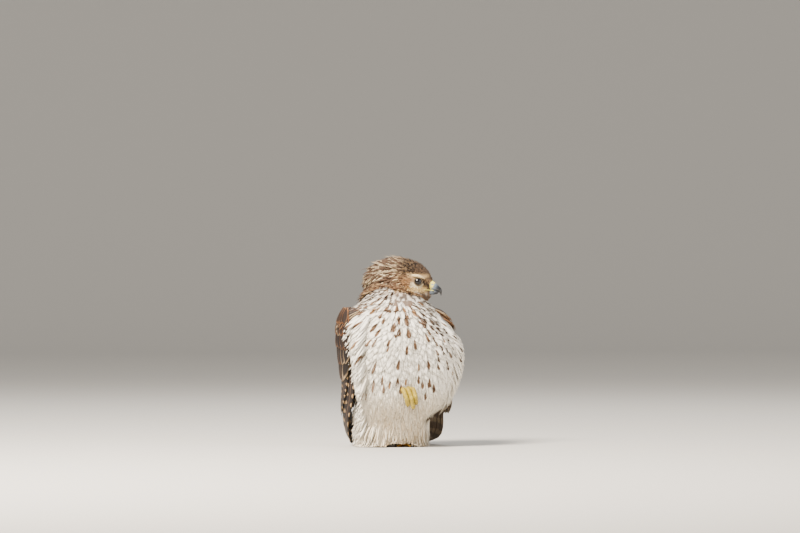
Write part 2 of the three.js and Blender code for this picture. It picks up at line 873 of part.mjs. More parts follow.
function clawBody({ length, thick, claw }) {
  const start = vec(0, -length - 0.4, thick * 1.1);
  const line = new THREE.CatmullRomCurve3([
    start,
    start.clone().add(vec(0, -claw * 0.34, 1.2)),
    start.clone().add(vec(0, -claw * 0.62, -1.2)),
    vec(0, -length - claw * 0.76, 0.9),
  ]);
  return tube(line, (t) => [mix(2.3, 0.35, t), mix(2.7, 0.4, t)], { rows: 6, sides: 8 });
}

function sole() {
  const pad = new THREE.CylinderGeometry(7.4, 8.2, 8, 20).rotateX(Math.PI / 2).translate(0, 0, 4);
  return toSolid(pad);
}

function standingFoot() {
  const toes = Object.values(TOES).map((toe) => placed(toeBody(toe), toeFrame(toe.heading)));
  return union([sole(), ...toes]);
}

// The drawn-up foot: its toes hang in a loose fist in front of the belly
const FIST_AT = vec(-15, -87, 95);
const FIST = [
  { name: "inner", shift: -6.5, length: 26, lean: 14, claw: 15 },
  { name: "middle", shift: 1.6, length: 31, lean: 17, claw: 14 },
  { name: "outer", shift: 9.2, length: 22, lean: 20, claw: 12 },
];
const FIST_THICK = 4.2;
const FIST_SCUTES = 6;

function fistFrame({ shift, lean }) {
  return new THREE.Matrix4()
    .makeTranslation(FIST_AT.clone().add(vec(shift, 0, 0)))
    .multiply(new THREE.Matrix4().makeRotationY(-lean * DEG));
}

function fistToe({ length }, grow = 0) {
  const line = new THREE.CatmullRomCurve3([
    vec(0, 6, 1),
    vec(0, 0, 1.5),
    vec(0, -3, -length * 0.4),
    vec(0, 0.5, -length * 0.8),
    vec(0, 4 + grow, -length * 0.98),
  ]);
  const plates = steps(FIST_SCUTES).flatMap((t) => (t < 1 ? [t, t + 0.86 / FIST_SCUTES] : [t]));
  return loft(
    plates.map((t) => {
      const at = line.getPoint(t);
      const along = line.getTangent(t);
      const front = along.clone().cross(vec(1, 0, 0)).normalize();
      const thick = FIST_THICK * (1 - 0.2 * t) + grow;
      return ring(8, (a) => {
        const plate = Math.sin(a) > 0.2 ? 0.5 * scute(t, FIST_SCUTES) : 0;
        return at
          .clone()
          .add(vec(thick * Math.cos(a), 0, 0))
          .addScaledVector(front, (thick + plate) * Math.sin(a));
      });
    }),
  );
}

function fistClaw({ length, claw }) {
  const line = new THREE.CatmullRomCurve3([
    vec(0, 3.4, -length * 0.98),
    vec(0, 4.7 + claw * 0.3, -length - 1),
    vec(0, 4.7 + claw * 0.62, -length + 2),
  ]);
  return tube(line, (t) => [mix(2.2, 0.4, t), mix(2.5, 0.4, t)], { rows: 5, sides: 8, up: vec(0, -1, 0) });
}

function fistPalm(grow = 0) {
  const line = new THREE.CatmullRomCurve3([
    FIST_AT.clone().add(vec(2, 16, 5)),
    FIST_AT.clone().add(vec(1.6, 6, 3)),
    FIST_AT.clone().add(vec(1.4, -1, 1)),
  ]);
  return tube(line, (t) => [mix(6, 10.9, t) + grow, mix(5.5, 6.3, t) + grow], { rows: 6, sides: 14 });
}

// Assembly

const COLOURS = {
  down: "#f1ece2",
  head: "#7d6248",
  brown: "#4a382b",
  quill: "#5d4837",
  cere: "#d8c23c",
  horn: "#4b555f",
  skin: "#e0ae2c",
  claw: "#22242a",
  eye: "#1d120c",
};
const materials = Object.fromEntries(
  Object.entries(COLOURS).map(([name, color]) => [
    name,
    new THREE.MeshStandardMaterial({
      name,
      color,
      roughness: name === "eye" ? 0.08 : ["horn", "claw"].includes(name) ? 0.35 : 0.8,
      metalness: 0,
    }),
  ]),
);

const hawk = new THREE.Group();

function add(name, solid, finish) {
  const { vertProperties, triVerts } = solid.simplify(0.1).getMesh();
  const geometry = new THREE.BufferGeometry();
  geometry.setAttribute("position", new THREE.BufferAttribute(new Float32Array(vertProperties), 3));
  geometry.setIndex(new THREE.BufferAttribute(new Uint32Array(triVerts), 1));
  const mesh = new THREE.Mesh(geometry.toNonIndexed(), materials[finish]);
  mesh.geometry.computeVertexNormals();
  mesh.name = name;
  hawk.add(mesh);
}

// A slab that parts two pieces across a level.
const slab = (height, thickness = GAP) => box([400, 500, thickness], vec(0, 0, height));

// Torso, cut clear of the neck, the leg, the drawn-up foot and the tail
const grownTorso = torsoBody(GAP + 0.1);
const floor = box([400, 500, 40], vec(0, 0, 0.4 - 20));
const fistPieces = FIST.map((toe) => placed(fistToe(toe), fistFrame(toe)));
const shankBody = shank();
const roundShank = tube(
  new THREE.LineCurve3(SHANK_FOOT.clone().add(vec(0, 0, -8)), SHANK_TOP.clone().add(vec(0, 0, 1))),
  () => [SHANK_R + 3.4, SHANK_R + 4.4],
  { rows: 3, sides: 18, up: vec(0, -1, 0) },
);
const hollowShank = tube(
  new THREE.LineCurve3(SHANK_FOOT, SHANK_TOP),
  () => [SHANK_R + GAP + 0.2, SHANK_R + GAP + 0.4],
  { rows: 3, sides: 18, up: vec(0, -1, 0) },
);
const palm = fistPalm();
const grownFist = wasm.Manifold.hull([
  fistPalm(GAP + 0.1),
  ...FIST.map((toe) => placed(fistToe(toe, GAP + 0.1), fistFrame(toe))),
  ...FIST.map((toe) => placed(ball(vec(0, 9, -toe.length + 1), [3.4, 8, 5], 8), fistFrame(toe))),
]);
const fistBody = () => union([palm, ...fistPieces]);
const grownFoot = box([60, 60, 40], vec(0, 0, SHANK_SPLIT + GAP - 20));

add("standing_foot", standingFoot().subtract(box([60, 60, 40], vec(0, 0, SHANK_SPLIT + 20))), "skin");
for (const [name, toe] of Object.entries(TOES))
  add(
    `standing_claw_${name}`,
    placed(largest(clawBody(toe).subtract(toeBody(toe, GAP))), toeFrame(toe.heading)),
    "claw",
  );

const torso = largest(union([torsoBody(), ...torsoLocks()]).subtract(roundShank).subtract(grownFist));
add("torso", torso, "down");
add("tail", trimmed(tailBody(), grownTorso), "quill");
for (const [side, name] of [
  [LEFT, "left"],
  [RIGHT, "right"],
]) {
  for (const tierName of Object.keys(TIERS))
    add(`wing_${name}_${tierName}`, trimmed(wingTier(side, tierName), grownTorso), "brown");
}
const upper = union([upperBill(CERE_START, 65.2), hook()]);
const beyond = (x) => box([60, 60, 80], vec(x + 30, 0, -10));
const grownBill = union([upperBill(CERE_START - 4, 65.2, GAP), lowerBill(GAP)]);
const cere = union([upperBill(CERE_START, CERE_END)])
  .subtract(nostril(LEFT))
  .subtract(nostril(RIGHT));
const horn = upper.intersect(beyond(CERE_END + GAP));
const head = placed(largest(headWithFace().subtract(grownBill)), HEAD);
add("cere", placed(largest(cere), HEAD), "cere");
add("bill_upper", placed(largest(horn), HEAD), "horn");
add("bill_lower", placed(largest(lowerBill().subtract(upperBill(CERE_START - 4, 65.2, GAP))), HEAD), "horn");
add("neck", trimmed(neckBody(TORSO_TOP + GAP, NECK_TOP), placed(headBody(GAP), HEAD)), "head");
add("head", head, "head");
add("eye_left", placed(eye(LEFT), HEAD), "eye");
add("eye_right", placed(eye(RIGHT), HEAD), "eye");

// Leg and foot pieces
add("standing_shank", trimmed(shankBody, grownFoot), "skin");
add("tucked_foot", placed(fistBody(), new THREE.Matrix4()), "skin");
for (const toe of FIST) add(
    `tucked_claw_${toe.name}`,
    placed(largest(fistClaw(toe).subtract(fistToe(toe, GAP))), fistFrame(toe)),
    "claw",
  );

export default hawk;
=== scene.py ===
# %% [markdown]
# # A young hawk, fluffed up on one leg
# A museum model of a bird is a body under a coat. The coat is what people see: thousands of feathers, each a
# thin blade with a shaft, laid like roof tiles from the bill to the tail. This lesson makes one smooth skin,
# then lays every kind of feather over it from arrays of numbers, and makes the hard parts (bill, eyes, feet) by
# bending a ball primitive into shape. Sizes are written in millimetres and turned to metres at the end.

import math

import bpy
import numpy as np
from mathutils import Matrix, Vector
from mathutils.bvhtree import BVHTree


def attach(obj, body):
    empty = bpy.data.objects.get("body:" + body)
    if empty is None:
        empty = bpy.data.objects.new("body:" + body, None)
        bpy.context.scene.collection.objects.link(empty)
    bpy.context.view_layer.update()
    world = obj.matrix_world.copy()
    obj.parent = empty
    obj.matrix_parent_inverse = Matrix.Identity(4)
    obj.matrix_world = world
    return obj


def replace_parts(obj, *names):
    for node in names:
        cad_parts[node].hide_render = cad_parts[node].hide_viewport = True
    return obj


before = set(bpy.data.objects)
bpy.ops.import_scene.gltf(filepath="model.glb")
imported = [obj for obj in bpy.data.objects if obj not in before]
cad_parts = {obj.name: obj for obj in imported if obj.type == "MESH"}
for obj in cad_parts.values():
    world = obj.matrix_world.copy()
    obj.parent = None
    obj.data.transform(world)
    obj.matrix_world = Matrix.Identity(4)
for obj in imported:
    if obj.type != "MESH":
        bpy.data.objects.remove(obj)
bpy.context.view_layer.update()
SEED = 7
chance = np.random.default_rng(SEED)
print("nodes in the frame:", len(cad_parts))

# %% [markdown]
# The camera stands level with the bird, a little to its right side, and far away, as through a long lens.
# At 7.5 m an 800 pixel wide picture takes in 1.344 m, which gives the lens.

# %% Camera
CAMERA_AZIMUTH = math.radians(-15)
CAMERA_FAR = 7.5
VIEW_WIDTH = 1.344
SENSOR_WIDTH = 36
AIM_RIGHT, AIM_HEIGHT = -0.005, 0.302
right_way = Vector((math.cos(CAMERA_AZIMUTH), math.sin(CAMERA_AZIMUTH), 0))
back_way = Vector((math.sin(CAMERA_AZIMUTH), -math.cos(CAMERA_AZIMUTH), 0))
aim = right_way * AIM_RIGHT + Vector((0, 0, AIM_HEIGHT))
bpy.ops.object.camera_add(location=aim + back_way * CAMERA_FAR, rotation=(math.pi / 2, 0, CAMERA_AZIMUTH))
camera = bpy.context.object
camera.name = "camera"
camera.data.sensor_width = SENSOR_WIDTH
camera.data.lens = SENSOR_WIDTH * CAMERA_FAR / VIEW_WIDTH
camera.data.clip_end = 60
bpy.context.scene.camera = camera
print("lens", round(camera.data.lens, 1), "mm")

# %% [markdown]
# The floor is a pale sheet of paper that rises behind the bird in one sweep, as in a photo studio. It is a
# plane, its far edge extruded upwards, and the fold is rounded with a bevel.

# %% Pale floor
FLOOR_WIDE, WALL_HIGH, SWEEP_ROUND = 26, 9, 4
bpy.ops.object.select_all(action="DESELECT")
bpy.ops.mesh.primitive_plane_add(size=FLOOR_WIDE, location=(0, -1, 0))
floor = bpy.context.object
floor.name = "paper_floor"
bpy.ops.object.mode_set(mode="EDIT")
bpy.ops.mesh.select_all(action="DESELECT")
bpy.ops.object.mode_set(mode="OBJECT")
for edge in floor.data.edges:
    edge.select = all(floor.data.vertices[v].co.y > FLOOR_WIDE / 2 - 0.1 for v in edge.vertices)
bpy.ops.object.mode_set(mode="EDIT")
bpy.ops.mesh.select_mode(type="EDGE")
bpy.ops.mesh.extrude_region_move(TRANSFORM_OT_translate={"value": (0, 0, WALL_HIGH)})
bpy.ops.object.mode_set(mode="OBJECT")
sweep = floor.modifiers.new("sweep", "BEVEL")
sweep.width = SWEEP_ROUND
sweep.segments = 12
bpy.ops.object.modifier_apply(modifier="sweep")
bpy.ops.object.shade_smooth()
bpy.ops.object.transform_apply(location=True, rotation=True, scale=True)


# %% [markdown]
# Materials start from what the real thing is. A small class holds a material with its Principled shader and
# gives each kind of node a short name, so that a material reads as a few lines. Colours are written as sRGB hex
# values and turned to the linear numbers that Blender works in.

# %% Colours
def linear(hexed):
    """An sRGB hex colour as linear RGBA."""
    parts = [int(hexed[k : k + 2], 16) / 255 for k in (1, 3, 5)]
    return [c / 12.92 if c <= 0.04045 else ((c + 0.055) / 1.055) ** 2.4 for c in parts] + [1.0]


def shade(hexed):
    return np.array(linear(hexed)[:3])


# %% Materials and their nodes
class Finish:
    """A material, with short ways to add nodes before its Principled shader."""

    def __init__(self, name, **sockets):
        self.material = bpy.data.materials.new(name)
        self.material.use_nodes = True
        self.tree = self.material.node_tree
        self.shader = self.tree.nodes["Principled BSDF"]
        for key, value in sockets.items():
            self.shader.inputs[key.replace("_", " ")].default_value = value

    def put(self, kind, inputs=None, **settings):
        """Adds a node: settings are its properties, inputs a dict of socket and value or linked socket."""
        node = self.tree.nodes.new(kind)
        for key, value in settings.items():
            setattr(node, key, value)
        for key, value in (inputs or {}).items():
            if isinstance(value, bpy.types.NodeSocket):
                self.tree.links.new(value, node.inputs[key])
            else:
                node.inputs[key].default_value = value
        return node

    def place(self):
        return self.put("ShaderNodeTexCoord").outputs["Object"]

    def parted(self, vector):
        return self.put("ShaderNodeSeparateXYZ", {0: vector}).outputs

    def carried(self, label, output="Color"):
        """A value that each vertex of the mesh carries."""
        return self.put("ShaderNodeAttribute", attribute_name=label).outputs[output]

    def stretched(self, vector, **how):
        return self.put("ShaderNodeMapping", {"Vector": vector, **how}).outputs[0]

    def noise(self, scale, detail=2.0, at=None):
        at = self.place() if at is None else at
        return self.put("ShaderNodeTexNoise", {"Vector": at, "Scale": scale, "Detail": detail}).outputs["Fac"]

    def maths(self, operation, a, b=0.5, c=0.5):
        return self.put("ShaderNodeMath", {0: a, 1: b, 2: c}, operation=operation).outputs[0]

    def span(self, value, low, high, to_low=0.0, to_high=1.0):
        """Turns low to high into to_low to to_high, and holds at both ends."""
        inputs = {"Value": value, "From Min": low, "From Max": high, "To Min": to_low, "To Max": to_high}
        return self.put("ShaderNodeMapRange", inputs).outputs["Result"]

    def blended(self, factor, a, b, kind="MIX"):
        return self.put("ShaderNodeMix", {0: factor, 6: a, 7: b}, data_type="RGBA", blend_type=kind).outputs[2]

    def darkened(self, colour, number):
        grey = self.put("ShaderNodeCombineColor", {0: number, 1: number, 2: number}).outputs[0]
        return self.blended(1.0, colour, grey, "MULTIPLY")

    def ramp(self, factor, stops):
        """A colour ramp through (place, hex) stops."""
        node = self.put("ShaderNodeValToRGB", {"Fac": factor})
        while len(node.color_ramp.elements) < len(stops):
            node.color_ramp.elements.new(0.5)
        for element, (place, colour) in zip(node.color_ramp.elements, stops):
            element.position = place
            element.color = linear(colour)
        return node.outputs["Color"]

    def coloured(self, colour):
        self.tree.links.new(colour, self.shader.inputs["Base Color"])

    def bumped(self, height, strength, distance):
        bump = self.put("ShaderNodeBump", {"Height": height, "Strength": strength, "Distance": distance})
        self.tree.links.new(bump.outputs["Normal"], self.shader.inputs["Normal"])


# %% [markdown]
# Paper for the floor: matte, uncoated stock, with a tooth of about 2 mm that only just breaks the surface.

# %% Floor material
paper = Finish("uncoated_paper", Roughness=0.95, IOR=1.45, Base_Color=linear("#c4c1bb"))
paper.bumped(paper.noise(500), 0.05, 0.001)
floor.data.materials.append(paper.material)


# %% [markdown]
# ## Shape tables
# The body is an egg that changes with height. Each table gives its sizes at some heights, and a smooth curve
# runs through them, so any point of the surface can be worked out from an angle and a height.

# %% Small tools for arrays
TINY = 1e-9


def smooth(a, b, x):
    t = np.clip((np.asarray(x, float) - a) / (b - a), 0, 1)
    return t * t * (3 - 2 * t)


def mix(a, b, t):
    return a + (b - a) * t


def unit(ways, tiny=0.0):
    """Directions with their length made 1."""
    return ways / (np.linalg.norm(ways, axis=-1)[..., None] + tiny)


def sin_cos(degrees):
    return np.sin(np.radians(degrees)), np.cos(np.radians(degrees))


def through(rows):
    """A smooth curve through rows: the first number is the place, the rest what it gives there."""
    rows = np.array(rows, float)
    at, values = rows[:, 0], rows[:, 1:]
    last = len(at) - 1
    near = [(max(i - 1, 0), min(i + 1, last)) for i in range(last + 1)]
    slope = np.array([(values[b] - values[a]) / (at[b] - at[a]) for a, b in near])

    def curve(place):
        s = np.clip(np.asarray(place, float), at[0], at[-1])
        i = np.clip(np.searchsorted(at, s, side="right") - 1, 0, last - 1)
        span = (at[i + 1] - at[i])[..., None]
        t = (s - at[i])[..., None] / span
        rise = (2 * t - 3) * t * t
        found = values[i] * (rise + 1) - values[i + 1] * rise
        found = found + span * (slope[i] * t * (t - 1) ** 2 + slope[i + 1] * t * t * (t - 1))
        return [found[..., k] for k in range(values.shape[1])]

    return curve


# %% Body table
# height, centre x, half width, front, back
BODY = through([
    [10, -15, 59, 46, 38], [30, -15, 62, 58, 50], [60, -13, 67, 72, 63], [95, -9, 79, 83, 72],
    [130, -7, 88, 90, 78], [165, -9, 90, 92, 79], [195, -12, 86, 88, 75], [220, -15, 76, 76, 67],
    [238, -15, 62, 61, 54], [245, -14, 59, 56, 52], [253, -12.5, 56, 50, 49], [262, -12, 50, 42, 46],
    [276, -12, 44, 38, 42],
])
LEFT, RIGHT = 1, -1
SIDES = {"left": LEFT, "right": RIGHT}
WING_FRONT = {LEFT: -12, RIGHT: -24}
FLANK_RISE = {LEFT: 16, RIGHT: 13}
# height and how far the body stands out under the folded wing
WING_BED = {
    LEFT: through([
        [10, 0], [50, -6], [76, -8], [92, -5], [129, -4], [146, -4.5], [157, -1], [180, 1.5], [205, 4.5], [222, 4],
        [238, 0],
    ]),
    RIGHT: through([
        [10, 0], [50, -4], [76, -8], [92, -5], [129, -2], [146, -1], [157, 1.5], [180, 4.5], [205, 6.5], [222, 5],
        [238, 0],
    ]),
}


def flank(side, degrees, height):
    """How far the body stands out or in beside the wing's front edge and under the wing."""
    edge = WING_FRONT[side]
    under = smooth(edge - 6, edge + 1, degrees) * (1 - smooth(57, 70, degrees))
    swell = smooth(edge - 75, edge - 28, degrees) * (1 - smooth(edge - 9, edge + 1, degrees))
    rise = FLANK_RISE[side] * swell * smooth(42, 76, height) * (1 - smooth(165, 215, height))
    return WING_BED[side](height)[0] * under + rise


def body_point(angle, height, out=0.0):
    """A point of the body's outer surface, in mm. The angle is in degrees: 0 is the bird's left, 270 its front."""
    angle, height = np.broadcast_arrays(np.asarray(angle, float), np.asarray(height, float))
    x, half, front, back = BODY(height)
    s, c = sin_cos(angle)
    degrees = np.degrees(np.arctan2(s, np.abs(c)))
    swell = np.where(c > 0, flank(LEFT, degrees, height), flank(RIGHT, degrees, height))
    grow = out + swell * smooth(262, 238, height)
    return np.stack([x + (half + grow) * c, (np.where(s > 0, back, front) + grow) * s, height], -1)


# %% [markdown]
# The head has its own frame, turned over the bird's left shoulder: its x runs to the bill, y to its left.

# %% Head table and frame
HEAD_AT = np.array([3.0, -2.0, 279.0])
HEAD_TURN = math.radians(-33)
HEAD_COS, HEAD_SIN = math.cos(HEAD_TURN), math.sin(HEAD_TURN)
TO_HEAD = np.array([[HEAD_COS, -HEAD_SIN, 0], [HEAD_SIN, HEAD_COS, 0], [0, 0, 1]])


def from_head(points):
    return np.asarray(points) @ TO_HEAD.T + HEAD_AT


def in_head(points):
    return (np.asarray(points) - HEAD_AT) @ TO_HEAD


# place along the head, half width, top, bottom
SKULL = through([
    [-66, 15, 4, -24], [-62, 25, 12, -29], [-52, 34, 22.5, -33], [-38, 39, 32.5, -35], [-20, 40, 38.5, -36],
    [-4, 38, 38.5, -36], [10, 33.5, 35.5, -36], [22, 26.5, 31.5, -36], [32, 20, 25.5, -35], [40, 14.5, 18, -33],
    [45, 10.8, 10, -30], [49, 7.4, 1.5, -25],
])
SKULL_MIDDLE = -4.0


def head_point(x, angle, out=0.0):
    """A point of the head in its own frame. The angle is in degrees: 0 is its left, 90 the crown."""
    half, top, bottom = SKULL(x)
    s, c = sin_cos(angle)
    high = np.where(s > 0, top - SKULL_MIDDLE, SKULL_MIDDLE - bottom)
    return np.stack([np.asarray(x, float) + 0 * c, (half + out) * c, SKULL_MIDDLE + (high + out) * s], -1)


# %% [markdown]
# ## Making a piece from a ball
# Most hard parts of a bird are closed, rounded forms: toes, claws, bill, even the skin. A UV ball already has
# rings and two closed ends, so each such piece starts as a ball, and every vertex is then moved to its place.

# %% Ball to piece
def vertices_of(piece):
    spots = np.empty(len(piece.data.vertices) * 3)
    piece.data.vertices.foreach_get("co", spots)
    return spots.reshape(-1, 3)


def reshaped(piece, places):
    """Moves every vertex to its place, in mm, and turns all faces outwards."""
    piece.data.vertices.foreach_set("co", (places / 1000).ravel())
    bpy.ops.object.mode_set(mode="EDIT")
    bpy.ops.mesh.select_all(action="SELECT")
    bpy.ops.mesh.normals_make_consistent(inside=False)
    bpy.ops.object.mode_set(mode="OBJECT")
    bpy.ops.object.shade_smooth()
    return piece


def shaped_ball(around, along, place):
    """A ball with its vertices moved: place gets the turn in degrees and the share from end to end."""
    bpy.ops.object.select_all(action="DESELECT")
    bpy.ops.mesh.primitive_uv_sphere_add(segments=around, ring_count=along)
    piece = bpy.context.object
    spots = vertices_of(piece)
    turn = np.degrees(np.arctan2(spots[:, 1], spots[:, 0]))
    share = np.round(np.arccos(np.clip(spots[:, 2], -1, 1)) / math.pi * along) / along
    return reshaped(piece, place(turn, share))


def cap(share, depth):
    """How full a ring is: 1 along the middle, rounding off to 0 at both ends over that share."""
    near = np.clip(np.minimum(share, 1 - share) / depth, 0, 1)
    return np.sqrt(np.maximum(1 - (1 - near) ** 2, 0))


def on_line(line, share):
    """Points of a curve and its direction there."""
    ahead = np.stack(line(np.minimum(share + 0.01, 1)), -1) - np.stack(line(np.maximum(share - 0.01, 0)), -1)
    return np.stack(line(share), -1), unit(ahead)


# %% [markdown]
# A finished piece takes its name, its material and its place in the frame. Two more helpers join pieces and
# apply a modifier.

# %% Names, joins and modifiers
def named_piece(name, paint):
    piece = bpy.context.object
    piece.name = name
    piece.data.name = name
    piece.data.materials.clear()
    piece.data.materials.append(paint.material)
    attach(piece, "root")
    return piece


def joined(pieces):
    bpy.ops.object.select_all(action="DESELECT")
    for piece in pieces:
        piece.select_set(True)
    bpy.context.view_layer.objects.active = pieces[0]
    bpy.ops.object.join()
    return bpy.context.object


def applied(piece, kind, **settings):
    """Adds a modifier and applies it."""
    bpy.ops.object.select_all(action="DESELECT")
    piece.select_set(True)
    bpy.context.view_layer.objects.active = piece
    modifier = piece.modifiers.new("step", kind)
    for key, value in settings.items():
        setattr(modifier, key, value)
    bpy.ops.object.modifier_apply(modifier="step")


# %% [markdown]
# ## The skin
# Under the coat lies one skin without a seam. A body ball and a head ball are joined, wrapped again in one even
# net of about 3 mm by a voxel remesh, and smoothed. It lies inside the outline by the depth of the coat, which
# is deep on the belly of a fluffed bird and shallow on its face.

# %% Skin
COAT_DEEP = 5.0
FACE_DEEP = 1.6


def body_deep(angle, height):
    """Depth of the coat: most where loose feathers hang beside the left wing's lower half."""
    off = (np.asarray(angle) - 90) % 360 - 180
    return COAT_DEEP + 12 * smooth(84, 48, height) * smooth(28, 55, off) * smooth(150, 105, off)


def head_deep(x):
    return mix(COAT_DEEP - 1, FACE_DEEP, smooth(-20, 26, x))


def body_skin(turn, share):
    full = cap(share, 0.05)
    height = mix(268, 13, np.clip((share - 0.025) / 0.95, 0, 1))
    ring = body_point(turn, height, -body_deep(turn, height))
    middle = np.stack([BODY(height)[0], 0 * turn, height + np.where(share < 0.5, 3, -2) * (1 - full)], -1)
    return mix(middle, ring, full[:, None])


def head_skin(turn, share):
    full = cap(share, 0.08)
    x = mix(48.5, -63, np.clip((share - 0.04) / 0.92, 0, 1))
    ring = head_point(x, turn, -head_deep(x))
    middle = np.stack([x, 0 * x, np.full_like(x, -9.0)], -1)
    return from_head(mix(middle, ring, full[:, None]))


skin = joined([shaped_ball(120, 90, body_skin), shaped_ball(72, 60, head_skin)])
applied(skin, "REMESH", mode="VOXEL", voxel_size=0.0026, use_smooth_shade=True)
applied(skin, "SMOOTH", factor=0.5, iterations=6)
skin.name = "skin"
skin_points = vertices_of(skin) * 1000
skin_tree = BVHTree.FromPolygons(
    [tuple(p) for p in skin_points], [tuple(p.vertices) for p in skin.data.polygons]
)
print("skin faces", len(skin.data.polygons))

# %% [markdown]
# ## How feathers lie
# Feathers point away from the bill: back over the crown, round the eye, down the neck and breast, and outwards
# over the flanks. A flow gives that direction at any place. A feather is laid step by step: a step along the
# flow, then back down on the skin.

# %% Flow of the coat
EYE = {"x": 28.0, "y": 16.2, "z": -2.4, "radius": 8.2, "opening": 6.2}


def body_angle(points):
    """Degrees round the body from straight ahead: less than 0 is the bird's right."""
    x = BODY(points[:, 2])[0]
    angle = np.degrees(np.arctan2(points[:, 1], points[:, 0] - x))
    return (angle - 270 + 180) % 360 - 180


def body_flow(points):
    off = body_angle(points)
    fan = mix(0.3, 0.8, smooth(90, 170, points[:, 2])) * np.clip(off, -52, 52) * (1 - smooth(75, 115, np.abs(off)))
    s, c = sin_cos(off + 270)
    side = np.stack([-s, c, 0 * off], -1)
    return side * np.tan(np.radians(np.clip(fan, -44, 44)))[:, None] + np.array([0, 0, -1.0])


def head_flow(points):
    q = in_head(points)
    x, z = q[:, 0], q[:, 2]
    down = 0.12 + 0.9 * smooth(5, -30, z) + 1.1 * smooth(-25, -58, x)
    flow = np.stack([-np.ones_like(x), 0 * x, -down], -1)
    away = np.stack([x - EYE["x"], 0 * x, z - EYE["z"]], -1)
    far = np.linalg.norm(away, axis=1)[:, None] + 1e-6
    flow = flow + away / far * 1.8 * np.exp(-((far / 11) ** 2))
    return flow @ TO_HEAD.T


def coat_flow(points):
    share = smooth(248, 266, points[:, 2])[:, None]
    return unit(mix(body_flow(points), head_flow(points), share))


# %% Laying feathers on the skin
HEM_FREE = 17.0
LOWEST = 2.4


def on_skin(points):
    """The nearest place and normal of the skin for each point."""
    found = [skin_tree.find_nearest(Vector(p))[:2] for p in points]
    return np.array([f[0] for f in found]), np.array([f[1] for f in found])


def laid(roots, length, rows, sway, cling=1.0):
    """Paths that start at the roots and follow the flow on the skin: points and normals, row by row."""
    at, normal = on_skin(roots)
    path, normals = [at], [normal]
    heading = None
    step = (length / (rows - 1))[:, None]
    for _ in range(rows - 1):
        way = coat_flow(at)
        way = way * np.cos(sway)[:, None] + np.cross(normal, way) * np.sin(sway)[:, None]
        way = unit(way - normal * np.sum(way * normal, axis=1)[:, None], TINY)
        if heading is not None:
            way = unit(mix(heading, way, 0.6), TINY)
        heading = way
        free = at + way * step
        snapped, turned = on_skin(free)
        hold = (cling * smooth(HEM_FREE - 6, HEM_FREE + 2, free[:, 2]))[:, None]
        at = mix(free, snapped, hold)
        normal = unit(mix(normal, turned, hold), TINY)
        at[:, 2] = np.maximum(at[:, 2], LOWEST)
        path.append(at)
        normals.append(normal)
    return np.array(path), np.array(normals)


# %% [markdown]
# ## One feather, many times
# A feather is a thin blade: narrow at the root, widest past its middle, arched across and closed all round. The
# blade's cross section is a ring of a few points. Each kind has its own outline, the share of its full width at
# each share of its length.

# %% Outlines and rings of blades
def pointed(t):
    return (0.25 + 0.75 * smooth(0, 0.4, t)) * (1 - smooth(0.72, 1.04, t) ** 1.3 * 0.97)


def rounded(t):
    return (0.45 + 0.55 * smooth(0, 0.35, t)) * np.sqrt(np.maximum(1 - smooth(0.7, 1.0, t) ** 2 * 0.96, 0.03))


def slender(t):
    return (0.5 + 0.5 * smooth(0, 0.3, t)) * (1 - 0.8 * smooth(0.6, 1.05, t) ** 1.5)


def strand(t):
    return (0.7 + 0.3 * smooth(0, 0.3, t)) * (1 - 0.9 * t**1.6)


def blade_ring(columns):
    """The places across a blade, from -1 to 1, and which face each is on: 1 above, -1 below, 0 at an edge."""
    over = np.linspace(-1, 1, columns)
    face = np.concatenate([[0], np.ones(columns - 2), [0], -np.ones(columns - 2)])
    return np.concatenate([over, over[-2:0:-1]]), face


# %% [markdown]
# All feathers of a tract are made at once in arrays: the rings of one row of all blades, then the next. Each
# blade also carries a map of its own length and width, so a material can draw its shaft, its barbs and its mark,
# and the colours of its edge and its mark.

# %% Blades
FLOOR_GAP = 0.3
BAKE_PATCH = 0.003


